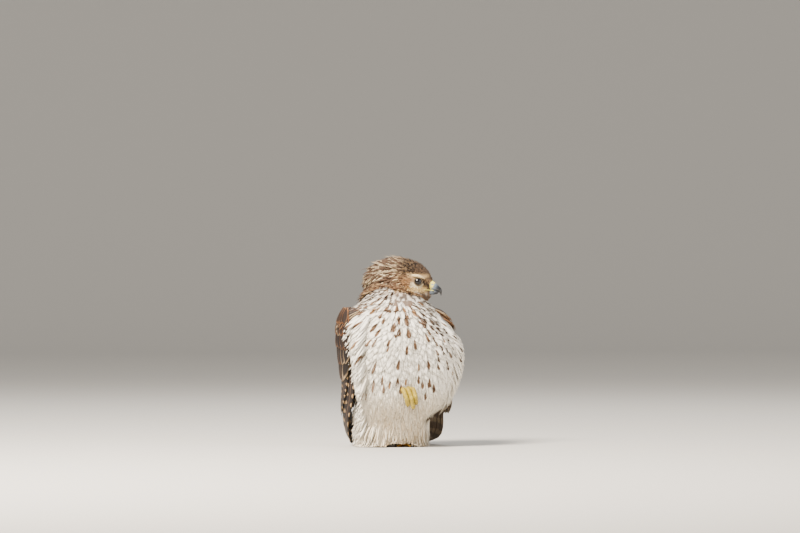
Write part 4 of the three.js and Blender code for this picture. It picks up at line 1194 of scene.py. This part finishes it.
def wing_tier(
    tract, side, front, back, count, span, width, level, inset, reach, colours, rows=12, profile=rounded, fall=0.0
):
    """A row of quills between a front and a back line. Each is tilted to lap over the next."""
    f = np.arange(count) / (count - 1)
    t = np.linspace(0, 1, rows)[:, None]
    end = mix(span[0], span[1], t * reach(f)[None, :])
    front_angle, front_height = front(end)
    back_angle, back_height = back(end)
    degrees = mix(front_angle + inset[0], back_angle + inset[1], f[None, :]) + 0.25 * chance.standard_normal(count)
    height = np.maximum(mix(front_height, back_height, f[None, :]) - fall * smooth(0.5, 1, t), 1.2)
    path = wing_point(side, degrees, height)
    apart = wing_point(side, degrees[:, 1:], height[:, 1:]) - path[:, :-1]
    tilt = LAP / np.maximum(np.linalg.norm(apart, axis=-1).mean(axis=1), 2.0)
    raised = mix(level[0], level[1], smooth(0.4, 1, t)) * np.ones(count)
    paint = colours(count)
    bake = np.stack([0.02 + 0.9 * (f * 0.45 + (0.5 if side == LEFT else 0)), np.clip(height[0] / 260, 0, 1)], -1)
    tract.add(
        path, wing_normal(side, degrees, height), width * (0.94 + 0.12 * chance.random(count)), paint, raised,
        columns=5, profile=profile, thick=0.6, arch=0.05, bake=bake, ragged=0.02,
        tilt=np.repeat((tilt * -side)[:, None], count, axis=1),
    )


# %% [markdown]
# Flight feathers are stiffer and smoother than the coat, and barred: pale notches cut in from both edges, with
# a pale shaft. A bar is about 12 mm from the next on a 200 mm primary.

# %% Quill material
def barred_quill(name, dark, pale, bars, notch, shaft, rib_wide=0.06):
    paint = Finish(name, Roughness=0.55, IOR=1.55, Specular_IOR_Level=0.3)
    across, along = vane = vane_of(paint)
    shift = paint.maths("MULTIPLY_ADD", paint.noise(90), 0.035, along)
    wave = paint.maths("SINE", paint.maths("MULTIPLY", shift, bars * 2 * math.pi))
    deep = paint.span(across, notch, notch + 0.35, -0.5, 0.75)
    band = paint.span(paint.maths("ADD", wave, deep), 0.75, 1.1)
    colour = paint.blended(band, linear(dark), linear(pale))
    colour = paint.blended(paint.span(along, 0.96, 1.0), colour, linear(pale))
    barbed(paint, colour, vane, -0.12, 90, shaft, (rib_wide, rib_wide * 1.8), 1.0, 0.84, 0.25, (0.4, 0.0005))
    return paint


# The two wings carry the same quills in two paints: the right wing's are near black, its own dark brown deepened as
# painted shade, and the left wing's are a lighter grey-brown with faint bars.
QUILLS = {
    "left": barred_quill("lighter_grey_left_wing_quill", "#695a4b", "#8f7d66", 8.0, 0.4, "#cdb68c", rib_wide=0.1),
    "right": barred_quill("shaded_dark_right_wing_quill", "#1c1411", "#a88860", 11.0, 0.4, "#4a3729"),
}
tail_quill = barred_quill("tail_quill", "#4b3a2e", "#bba384", 7.0, 0.0, "#8a6e52")

# %% [markdown]
# The coverts are five rows of tiles. Each row is given by its share of the front and back lines, the width of
# its feathers, how high it stands off the shell at root and tip, how its lower ends rise and fall, its edge and
# dark colours, and the width of its dark mark.

# %% Wing feathers
WHOLE_MARK = np.array([0.5, 0.5, 0.5])
COVERT_TIERS = [
    ((0.42, 1), 19, (9.9, 10.4), lambda f: np.sin(np.pi * f * 2.4 + 1), "#644936", "#1b1310", 1.15),
    ((0.3, 0.8), 18, (11.7, 12.2), lambda f: np.sin(np.pi * f * 3), "#6c4a2f", "#1d1512", 1.15),
    ((0.2, 0.6), 17, (13.4, 13.9), lambda f: np.cos(np.pi * f * 3), "#775236", "#1f1613", 1.1),
    ((0.08, 0.42), 16, (15, 15.4), lambda f: np.sin(np.pi * f * 4), "#7d5030", "#221813", 1.1),
    ((0, 0.26), 15, (16.4, 16.8), lambda f: np.cos(np.pi * f * 2), "#875a34", "#261b15", 1.05),
]


def quill_paint(count):
    return dyed(count, shade("#3d2f27"), shade("#3d2f27"), WHOLE_MARK)


def covert_paint(edge_hex, dark_hex, width):
    def paint(count):
        colours = dyed(count, shade(edge_hex), shade(dark_hex), np.array([width, 0.42, 0.6]), 0.16)
        colours["spot"] = colours["spot"] * (1 + 0.06 * chance.standard_normal((count, 3)))
        pale = chance.random((count, 1)) < 0.25
        colours["edge"] = np.where(pale, shade("#b99e7c"), colours["edge"])
        return colours

    return paint


for label, side in SIDES.items():
    quills = Tract()
    wing_tier(
        quills, side, PRIMARY_FRONT[side], PRIMARY_BACK[side], 10, (0.2, 1), 19, (2.6, 5.4), (1, -4),
        lambda f: 1 - 0.05 * f, quill_paint, rows=18, profile=slender, fall=6.5,
    )
    wing_tier(
        quills, side, SECONDARY_FRONT[side], SECONDARY_BACK, 12, (0, 1), 22, (6.4, 7.8), (2, -6),
        lambda f: 0.94 + 0.06 * np.sin(np.pi * f), quill_paint, rows=14,
    )
    piece = quills.made(f"{label}_flight_feathers", QUILLS[label])
    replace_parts(piece, f"wing_{label}_primaries", f"wing_{label}_secondaries")
    coverts = Tract()
    for span, width, level, wave, edge_hex, dark_hex, mark in COVERT_TIERS:
        wing_tier(
            coverts, side, COVERT_FRONT[side], COVERT_BACK, 12, span, width, level, (5, -5),
            lambda f: 0.95 + 0.05 * wave(f), covert_paint(edge_hex, dark_hex, mark),
        )
    piece = coverts.made(f"{label}_coverts", covert_plumage)
    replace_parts(piece, f"wing_{label}_greater_coverts", f"wing_{label}_median_coverts", f"wing_{label}_lesser_coverts")

# %% [markdown]
# ## Tail
# Twelve feathers lie in a low stack, the middle pair on top, and the last of them rests flat on the floor.

# %% Tail
PAIRS = 6
# place along the tail, y, height, centre x
TAIL_LINE = through([
    [0, 50, 92, -6], [0.16, 80, 66, -4], [0.33, 110, 40, -2], [0.5, 140, 18, 0], [0.67, 168, 5, 1],
    [0.84, 190, 1.6, 2], [1, 214, 1.6, 3],
])
tail = Tract()
rows = 18
t = np.linspace(0, 1, rows)[:, None]
order = np.repeat(np.arange(PAIRS), 2)
side = np.tile([1.0, -1.0], PAIRS)
reach = 1 - 0.035 * (1 - order / PAIRS) ** 2
offset = np.maximum(5.4 * (PAIRS - 0.65 - order), np.where(order == PAIRS - 1, 0, 10.3))
y, z, x = TAIL_LINE(t * reach)
path = np.stack([x + side * offset * mix(0.55, 1, t), y, z], -1)
normals = unit(np.cross(np.array([1.0, 0, 0]), unit(np.gradient(path, axis=0))))
raised = (order + np.where((order == PAIRS - 1) & (side < 0), 1, 0)) * 1.05 - 1.1
colours = dyed(2 * PAIRS, TAN, TAN, WHOLE_MARK)
tail.add(path, normals, 20.0, colours, raised, columns=5, profile=rounded, thick=0.7, arch=0.03, ragged=0.015)
piece = tail.made("tail_feathers", tail_quill)
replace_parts(piece, "tail")

# %% [markdown]
# ## Bill and cere
# The upper bill is a deep hook. Its top and cutting edges are two curves, and a ring is drawn between them at
# each step. The cere is skin over its root, with an oval nostril sunk into it.

# %% Bill shapes
# place along, top x, top z, bottom x, bottom z, half width
UPPER_BILL = through([
    [0, 46, 0.2, 46, -17.8, 7.6], [0.2, 51.2, -3.4, 50, -18.2, 6.8], [0.4, 55.6, -6.2, 54, -18.6, 5.7],
    [0.6, 59.8, -9.8, 57.4, -19.2, 4.5], [0.78, 63.4, -13.6, 60.4, -20.4, 3.2], [0.9, 65, -19, 62.2, -23, 1.9],
    [1, 63.9, -26.6, 63.2, -26.5, 0.5],
])
LOWER_BILL = through([
    [0, 44, -15.4, 44, -24.6, 6.4], [0.4, 51, -16, 51, -24.2, 5.4], [0.8, 57, -16.8, 56.6, -23.2, 3.9],
    [1, 59.6, -18, 59.2, -21.6, 2.1],
])
CERE = through([
    [0, 45.6, 0.6, 45.6, -17.4, 8.0], [0.5, 49.4, -2.0, 48.4, -16.8, 7.3], [0.85, 52.6, -3.9, 50.4, -15.6, 6.6],
    [1, 53.6, -4.6, 51.2, -15.0, 5.9],
])
NOSTRIL_X, NOSTRIL_Z = 50.4, -7.2


def hooked(stations, turn, share, grow=0.0, narrow=0.34):
    """A point on a bill, from the table of its stations."""
    top_x, top_z, low_x, low_z, half = stations(share)
    s, c = sin_cos(turn)
    full = cap(share, 0.06)
    high = np.sign(s) * np.abs(s) ** 0.9 * full
    x = (top_x + low_x) / 2 + (top_x - low_x) / 2 * high
    z = (top_z + low_z) / 2 + ((top_z - low_z) / 2 + grow) * high
    y = (half + grow) * c * full * np.where(s > 0, 1 - narrow * s * s, 1)
    return np.stack([x, y, z], -1)


def upper_bill(turn, share):
    return from_head(hooked(UPPER_BILL, turn, share))


def lower_bill(turn, share):
    return from_head(hooked(LOWER_BILL, turn, share, narrow=0.0))


def cere(turn, share):
    q = hooked(CERE, turn, share, grow=0.35)
    hole = np.stack([(q[:, 0] - NOSTRIL_X) / 2.0, (q[:, 2] - NOSTRIL_Z) / 1.25], -1)
    q[:, 1] -= np.sign(q[:, 1]) * (2.0 * np.exp(-np.sum(hole**2, axis=1) ** 2))
    return from_head(q)


# %% [markdown]
# Horn is hard and smooth, blue grey at the root and black at the tip. The cere is waxy yellow skin with fine
# pores, and its nostril opening is painted dark, as painted shade in the hole.

# %% Horn and wax
def head_place(paint):
    """The head's own coordinates, in metres."""
    moved = paint.put("ShaderNodeVectorMath", {0: paint.place(), 1: tuple(HEAD_AT / 1000)}, operation="SUBTRACT")
    return paint.stretched(moved.outputs[0], Rotation=(0, 0, -HEAD_TURN))


horn = Finish("bill_horn", Roughness=0.32, IOR=1.54, Coat_Weight=0.25)
place = head_place(horn)
split = horn.parted(place)
tipwards = horn.span(horn.maths("MULTIPLY_ADD", split[2], -0.45, split[0]), 0.053, 0.068)
horn.coloured(horn.ramp(tipwards, [(0, "#7f8c9a"), (0.35, "#56616e"), (0.7, "#24282f"), (1, "#0d0d10")]))
horn.bumped(horn.noise(1.0, at=horn.stretched(place, Scale=(900, 200, 200))), 0.15, 0.0003)

wax = Finish(
    "waxy_cere_skin", Roughness=0.42, IOR=1.45, Subsurface_Weight=0.15, Subsurface_Scale=0.002
)
split = wax.parted(head_place(wax))
slit_x = wax.maths("MULTIPLY", wax.maths("SUBTRACT", split[0], NOSTRIL_X / 1000), 1 / 0.0018)
slit_z = wax.maths("MULTIPLY", wax.maths("SUBTRACT", split[2], NOSTRIL_Z / 1000), 1 / 0.0011)
nostril_shade = wax.maths("ADD", wax.maths("MULTIPLY", slit_x, slit_x), wax.maths("MULTIPLY", slit_z, slit_z))
pores = wax.noise(1500, 3)
yellow = wax.ramp(pores, [(0.3, "#c9b548"), (0.7, "#e3d778")])
yellow = wax.blended(wax.span(split[2], -0.012, -0.0155, 0.0, 0.75), yellow, linear("#a8a050"))
# Painted shade: the nostril opening is coloured dark brown.
wax.coloured(wax.blended(wax.span(nostril_shade, 0.7, 1.3), linear("#2a2114"), yellow))
wax.bumped(pores, 0.2, 0.0003)

# %% Bill and cere
shaped_ball(40, 48, upper_bill)
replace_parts(named_piece("upper_bill", horn), "bill_upper")
shaped_ball(32, 24, lower_bill)
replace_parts(named_piece("lower_bill", horn), "bill_lower")
shaped_ball(72, 48, cere)
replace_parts(named_piece("cere_skin", wax), "cere")


# %% [markdown]
# The gape is a soft yellow lip that runs from the bill back under the eye.

# %% Gape
def tube_along(line, radius):
    """A closed tube along a curve of points of the head: radius gives its half size from end to end."""

    def place(turn, share):
        at, ahead = on_line(line, share)
        level = unit(np.cross(ahead, np.array([0, 0, 1.0])))
        rise = np.cross(level, ahead)
        size = (radius(share) * cap(share, 0.08))[:, None]
        s, c = sin_cos(turn[:, None])
        return from_head(at + size * (level * c + rise * s))

    return place


for label, side in SIDES.items():
    lips = through([[0, 53, side * 6.6, -17.4], [0.4, 46, side * 9.2, -16.6], [1, 38, side * 14.6, -15.6]])
    shaped_ball(12, 30, tube_along(lips, lambda s: 0.95 - 0.35 * s))
    named_piece(f"gape_{label}", wax)

# %% [markdown]
# ## Eyes
# The eye is a ball under a clear cornea. In a young bird of this kind the iris is so dark a brown that it is
# hard to tell from the pupil. A ring of bare skin holds it, and a bony brow shades it.

# %% Eye material
eye_shine = Finish("wet_eye", Roughness=0.06, IOR=1.38, Coat_Weight=0.3, Coat_Roughness=0.02)
split = eye_shine.parted(eye_shine.put("ShaderNodeUVMap", uv_map="UVMap").outputs["UV"])
rings = eye_shine.maths("MULTIPLY_ADD", eye_shine.noise(2500, 3), 0.02, split[1])
eye_shine.coloured(eye_shine.ramp(rings, [(0.6, "#0b0807"), (0.72, "#1b100b"), (0.86, "#3a2013"), (0.9, "#050404")]))

lid_skin = Finish("bare_eyelid_skin", Roughness=0.6, IOR=1.42)
folds = lid_skin.noise(1800, 3)
lid_skin.coloured(lid_skin.ramp(folds, [(0.3, "#2b2119"), (0.7, "#5c4b34")]))
lid_skin.bumped(folds, 0.4, 0.0004)

# %% Eye and lid shapes
EYE_TURN = math.radians(24)


def looking(side):
    """The middle of an eye, where it looks, and the two directions across it."""
    look = unit(np.array([math.sin(EYE_TURN), side * math.cos(EYE_TURN), 0.04]))
    flat = unit(np.cross(np.array([0, 0, 1.0]), look))
    return np.array([EYE["x"], side * EYE["y"], EYE["z"]]), look, flat, np.cross(look, flat)


def eyeball(side):
    middle, look, flat, rise = looking(side)

    def place(turn, share):
        s, c = sin_cos(turn[:, None])
        angle = ((1 - share) * math.pi)[:, None]
        bulge = (EYE["radius"] + 0.35 * smooth(0.6, 0.95, share))[:, None]
        return from_head(middle + bulge * (look * np.cos(angle) + np.sin(angle) * (flat * c + rise * s)))

    return place


def lid(side, turn, around):
    """A point of the ring of skin: the turn goes round the eye, around goes round the ring's own section."""
    middle, look, flat, rise = looking(side)
    s, c = sin_cos(turn)
    wide = (EYE["opening"] + 0.4 + 1.25 * np.cos(around)) * (1 - 0.1 * s**2)
    deep = 4.9 + 1.5 * np.sin(around) + 0.9 * np.maximum(s, 0)
    return from_head(middle + look * deep[:, None] + (flat * (wide * c)[:, None] + rise * (wide * s)[:, None]))


# %% Eyes and lids
for label, side in SIDES.items():
    shaped_ball(48, 32, eyeball(side))
    piece = named_piece(f"eyeball_{label}", eye_shine)
    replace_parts(piece, f"eye_{label}")
    bpy.ops.object.select_all(action="DESELECT")
    bpy.ops.mesh.primitive_torus_add(major_segments=56, minor_segments=14, major_radius=1.0, minor_radius=0.25)
    ring = bpy.context.object
    spots = vertices_of(ring)
    turn = np.degrees(np.arctan2(spots[:, 1], spots[:, 0]))
    around = np.arctan2(spots[:, 2], np.hypot(spots[:, 0], spots[:, 1]) - 1.0)
    reshaped(ring, lid(side, turn, around))
    named_piece(f"eyelid_{label}", lid_skin)

# %% [markdown]
# The brow is a ridge of bone with short pale feathers. It is a bent tube, and its feathers are laid along it.
# Dark bristles cover the bare skin between eye and bill.

# %% Brow and bristles
brow_skin = Finish("feathered_brow", Roughness=0.85, IOR=1.5)
streak = brow_skin.noise(1.0, 3, at=brow_skin.stretched(head_place(brow_skin), Scale=(250, 900, 900)))
brow_skin.coloured(brow_skin.ramp(streak, [(0.3, "#a08660"), (0.6, "#d8c195")]))
brow_skin.bumped(streak, 0.5, 0.0006)
BROW_COUNT, LORE_COUNT = 60, 46
step = np.linspace(0, 1, 4)[:, None, None]
bristles = Tract()


def bristle(side, root, way, length, up, width, share, colours, **shape):
    """Straight short blades in the head's own frame."""
    path = root + way * step * length[None, :, None]
    normals = np.broadcast_to(np.array([0, side * up[0], up[1]]), path.shape) @ TO_HEAD.T
    bake = np.stack([share, chance.random(len(root))], -1)
    bristles.add(from_head(path), normals, width, colours, bake=bake, **shape)


for label, side in SIDES.items():
    ridge = through([
        [0, 17, side * 23.6, 7.4], [0.35, 24, side * 24.2, 8], [0.7, 33, side * 20.2, 6.2], [1, 40, side * 13.8, 2],
    ])
    shaped_ball(16, 30, tube_along(ridge, lambda s: 1.0 + 1.5 * np.sin(np.pi * np.clip(s, 0.02, 0.98))))
    named_piece(f"brow_{label}", brow_skin)
    share = chance.random(BROW_COUNT)
    root = np.stack(ridge(share), -1) + np.array([0, 0, 0.9]) + 0.5 * chance.standard_normal((BROW_COUNT, 3))
    sideways, upwards = side * (0.25 + 0.2 * chance.random(BROW_COUNT)), 0.15 + 0.25 * chance.random(BROW_COUNT)
    way = np.stack([-1 + 0 * share, sideways, upwards], -1)
    length = 4.5 + 2 * chance.random(BROW_COUNT)
    colours = dyed(BROW_COUNT, shade("#dcc59a"), shade("#a98958"), np.array([0.4, 0.5, 0.6]), 0.12)
    bristle(side, root, way, length, (0.5, 1.0), 1.5, share, colours, thick=0.35)
    share = chance.random(LORE_COUNT)
    low = mix(0, -12, chance.random(LORE_COUNT))
    root = np.stack([mix(36, 44.5, share), side * mix(14.5, 9.6, share), low], -1)
    sideways = side * (0.75 + 0.3 * chance.random(LORE_COUNT))
    way = np.stack([0.9 + 0 * share, sideways, -0.2 + 0.7 * chance.standard_normal(LORE_COUNT) * 0.5], -1)
    length = 3.4 + 2.4 * chance.random(LORE_COUNT)
    colours = dyed(LORE_COUNT, shade("#3b2d24"), shade("#2a201a"), np.array([0.6, 0.5, 0.6]), 0.2)
    bristle(side, root, way, length, (1.0, 0.2), 0.55, share, colours, thick=0.3, profile=strand)
bristles.made("brow_and_lore_bristles", head_plumage)

# %% [markdown]
# ## Feet
# A hawk's toe is a row of horny plates over plump pads, bright yellow, with a black hooked claw. Each toe is a
# ball drawn out along its line, stepped where one plate ends over the next.

# %% Toe and claw shapes
TOES = {
    "inner": {"heading": -34, "length": 27, "joints": 2, "thick": 4.5, "claw": 18, "scutes": 8},
    "middle": {"heading": 4, "length": 36, "joints": 3, "thick": 4.3, "claw": 16, "scutes": 11},
    "outer": {"heading": 36, "length": 30, "joints": 4, "thick": 4.0, "claw": 13, "scutes": 10},
    "hind": {"heading": 184, "length": 21, "joints": 1, "thick": 4.6, "claw": 19, "scutes": 6},
}
FLOOR_LEVEL = 0.02
ACROSS = np.array([1.0, 0, 0])


def plate_step(share, count):
    """A soft step where one plate ends over the next."""
    phase = (share * count) % 1
    return smooth(0, 0.18, phase) * (1 - 0.5 * phase)


def plates(s, share, count, full):
    return np.where(s > 0.1, 0.8 * plate_step(share, count) * smooth(0.1, 0.6, s), 0) * full


def turned_z(points, degrees):
    c, s = math.cos(math.radians(degrees)), math.sin(math.radians(degrees))
    return points @ np.array([[c, -s, 0], [s, c, 0], [0, 0, 1]]).T


def standing_toe(toe):
    def place(turn, share):
        full = cap(share, 0.1)
        y = -mix(-4, toe["length"] + 0.6, share)
        arch = np.abs(np.sin(math.pi * (share * toe["joints"] + 0.5)))
        half = toe["thick"] * (0.82 + 0.2 * arch) * (1 - 0.24 * share) * full
        s, c = sin_cos(turn)
        plate = plates(s, share, toe["scutes"], full)
        pad = np.where(s < -0.2, 0.35 * np.abs(np.sin(share * 14)), 0) * full
        z = toe["thick"] * 0.9 * (1 - 0.2 * share) + (half + plate + pad) * s * 1.08
        return turned_z(np.stack([half * c * (1 + 0.06 * plate), y, np.maximum(z, FLOOR_LEVEL)], -1), toe["heading"])

    return place


def claw_along(points, big, fine, to_world):
    line = through(points)

    def place(turn, share):
        at, ahead = on_line(line, share)
        level = np.broadcast_to(ACROSS, at.shape)
        size = (mix(big, fine, share**1.1) * cap(share, 0.05))[:, None]
        s, c = sin_cos(turn[:, None])
        return to_world(at + size * (0.86 * level * c + np.cross(level, ahead) * s))

    return place


# %% [markdown]
# Scaly skin: keratin, a soft gloss, golden yellow with browner creases between scales of about 1.5 mm. The standing
# foot's copy is painted brighter, as painted light, because it stands in the shade of the hem; the drawn-up foot's
# copy is a duller olive, the same skin with painted shade. The claws are black horn with a faint grain along them.

# %% Foot materials
def scaly(name, deep, main, high, crease_hex):
    paint = Finish(name, Roughness=0.5, IOR=1.5)
    cells = {"Vector": paint.place(), "Scale": 650}
    cell = paint.put("ShaderNodeTexVoronoi", cells, feature="DISTANCE_TO_EDGE")
    crease = paint.span(cell.outputs["Distance"], 0.0, 0.14)
    gold = paint.ramp(paint.noise(120, 3), [(0.3, deep), (0.5, main), (0.75, high)])
    paint.coloured(paint.blended(crease, linear(crease_hex), gold))
    paint.bumped(crease, 0.5, 0.0004)
    return paint


# One foot skin in two paints: painted light on the standing foot, painted shade on the drawn-up one.
painted_lit_gold_scales = scaly("golden_foot_skin_painted_light", "#dd931c", "#f0ab2a", "#f6c650", "#9c6614")
painted_shade_olive_scales = scaly("olive_foot_skin_painted_shade", "#9c861f", "#b89f2c", "#cdb94a", "#665313")
claw_horn = Finish("black_claw_horn", Roughness=0.28, IOR=1.54, Coat_Weight=0.3)
grain = claw_horn.noise(700, 4)
claw_horn.coloured(claw_horn.ramp(grain, [(0.3, "#0f0f12"), (0.75, "#2e2c2e")]))
claw_horn.bumped(grain, 0.15, 0.0002)


# %% Standing foot
def sole_pad(turn, share):
    full = np.sin(share * math.pi)
    s, c = sin_cos(turn)
    z = 4.6 + 4.6 * np.cos(share * math.pi)
    return np.stack([8.2 * full * c, 8.2 * full * s, np.maximum(z, FLOOR_LEVEL)], -1)


toes = [shaped_ball(28, 16 * toe["scutes"] // 2, standing_toe(toe)) for toe in TOES.values()]
joined(toes + [shaped_ball(32, 20, sole_pad)])
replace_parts(named_piece("foot_standing", painted_lit_gold_scales), "standing_foot")
for name, toe in TOES.items():
    start = np.array([0, -toe["length"] - 0.1, toe["thick"] * 1.1])
    claw = toe["claw"]
    points = [
        [0, *(start + [0, 1.6, -0.2])],
        [0.35, *(start + [0, -claw * 0.34, 1.2])],
        [0.7, *(start + [0, -claw * 0.62, -1.2])],
        [1, 0, -toe["length"] - claw * 0.76, 0.9],
    ]
    shaped_ball(16, 24, claw_along(points, 2.5, 0.3, lambda p, h=toe["heading"]: turned_z(p, h)))
    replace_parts(named_piece(f"claw_{name}", claw_horn), f"standing_claw_{name}")

# %% Shank
SHANK_FOOT, SHANK_TOP = np.array([0, 4, 5.0]), np.array([6, 16, 66.0])


def shank(turn, share):
    at = mix(SHANK_FOOT, SHANK_TOP, share[:, None])
    size = (4.7 + 1.3 * (1 - smooth(0, 0.25, share)) + 0.35 * plate_step(share, 12)) * cap(share, 0.06)
    s, c = sin_cos(turn[:, None])
    return at + size[:, None] * (np.array([1.0, 0, -0.1]) * c + np.array([0, 1.0, -0.2]) * s)


shaped_ball(24, 96, shank)
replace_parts(named_piece("shank_standing", painted_lit_gold_scales), "standing_shank")

# %% [markdown]
# The other foot is drawn up into the belly, its toes in a loose fist.

# %% Drawn-up foot
FIST_AT = np.array([-15, -87, 95.0])
FIST = [
    {"name": "inner", "shift": -7.2, "length": 26, "lean": 19, "claw": 15},
    {"name": "middle", "shift": 1.6, "length": 31, "lean": 17, "claw": 14},
    {"name": "outer", "shift": 9.8, "length": 22, "lean": 14, "claw": 12},
]


def in_fist(toe):
    a = -math.radians(toe["lean"])
    spin = np.array([[math.cos(a), 0, math.sin(a)], [0, 1, 0], [-math.sin(a), 0, math.cos(a)]])
    return lambda points: points @ spin.T + FIST_AT + np.array([toe["shift"], 0, 0])


def fist_toe(toe):
    length = toe["length"]
    line = through([
        [0, 0, 6, 1], [0.25, 0, 0, 1.5], [0.5, 0, -3, -length * 0.4], [0.75, 0, 0.5, -length * 0.8],
        [1, 0, 4, -length * 0.98],
    ])
    to_world = in_fist(toe)

    def place(turn, share):
        at, ahead = on_line(line, share)
        front = np.cross(ahead, ACROSS)
        s, c = sin_cos(turn)
        full = cap(share, 0.12)
        thick = 4.2 * (1 - 0.2 * share) * full
        plate = plates(s, share, 9, full)
        return to_world(at + ACROSS * (thick * c)[:, None] + front * ((thick + plate) * s)[:, None])

    return place


def palm(turn, share):
    line = through([[0, *(FIST_AT + [2, 16, 5])], [0.5, *(FIST_AT + [1.6, 6, 3])], [1, *(FIST_AT + [1.4, -1, 1])]])
    at = np.stack(line(share), -1)
    full = cap(share, 0.14)[:, None]
    s, c = sin_cos(turn[:, None])
    t = share[:, None]
    return at + full * (mix(6, 10.7, t) * ACROSS * c + mix(5.5, 6.2, t) * np.array([0, 0, 1.0]) * s)


joined([shaped_ball(24, 72, fist_toe(toe)) for toe in FIST] + [shaped_ball(32, 24, palm)])
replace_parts(named_piece("foot_drawn_up", painted_shade_olive_scales), "tucked_foot")
for toe in FIST:
    length, claw = toe["length"], toe["claw"]
    points = [
        [0, 0, 2.4, -length * 0.93], [0.5, 0, 4.7 + claw * 0.3, -length - 1], [1, 0, 4.7 + claw * 0.62, -length + 2],
    ]
    shaped_ball(16, 20, claw_along(points, 2.3, 0.3, in_fist(toe)))
    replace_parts(named_piece(f"claw_drawn_up_{toe['name']}", claw_horn), f"tucked_claw_{toe['name']}")

# %% [markdown]
# ## Light
# A large soft light high on the left stands for the sun, a weaker one fills from the right, a third lifts the
# back, and a pale room lights the shadows.

# %% Lights
LIT_POINT = Vector((0, 0, 0.15))


def soft_light(name, azimuth, elevation, far, size, power, colour):
    a, e = math.radians(azimuth), math.radians(elevation)
    away = Vector((math.sin(a) * math.cos(e), -math.cos(a) * math.cos(e), math.sin(e))) * far
    bpy.ops.object.light_add(type="AREA", location=away + LIT_POINT)
    light = bpy.context.object
    light.name = name
    light.data.size = size
    light.data.energy = power
    light.data.color = linear(colour)[:3]
    light.rotation_euler = (LIT_POINT - (away + LIT_POINT)).to_track_quat("-Z", "Y").to_euler()


soft_light("key", -50, 44, 3.0, 0.9, 400, "#fff4e6")
soft_light("fill", 40, 15, 3.5, 2.4, 55, "#fdf6ee")
soft_light("back", 165, 50, 3.0, 1.2, 40, "#ffffff")
world = bpy.data.worlds.new("room")
bpy.context.scene.world = world
world.use_nodes = True
world.node_tree.nodes["Background"].inputs["Color"].default_value = linear("#f1eeea")
world.node_tree.nodes["Background"].inputs["Strength"].default_value = 0.75

# %% Sizes and finish
shown = [o.data for o in bpy.context.scene.objects if o.type == "MESH" and not o.hide_render]
print("triangles shown", sum(len(mesh.loops) - 2 * len(mesh.polygons) for mesh in shown))
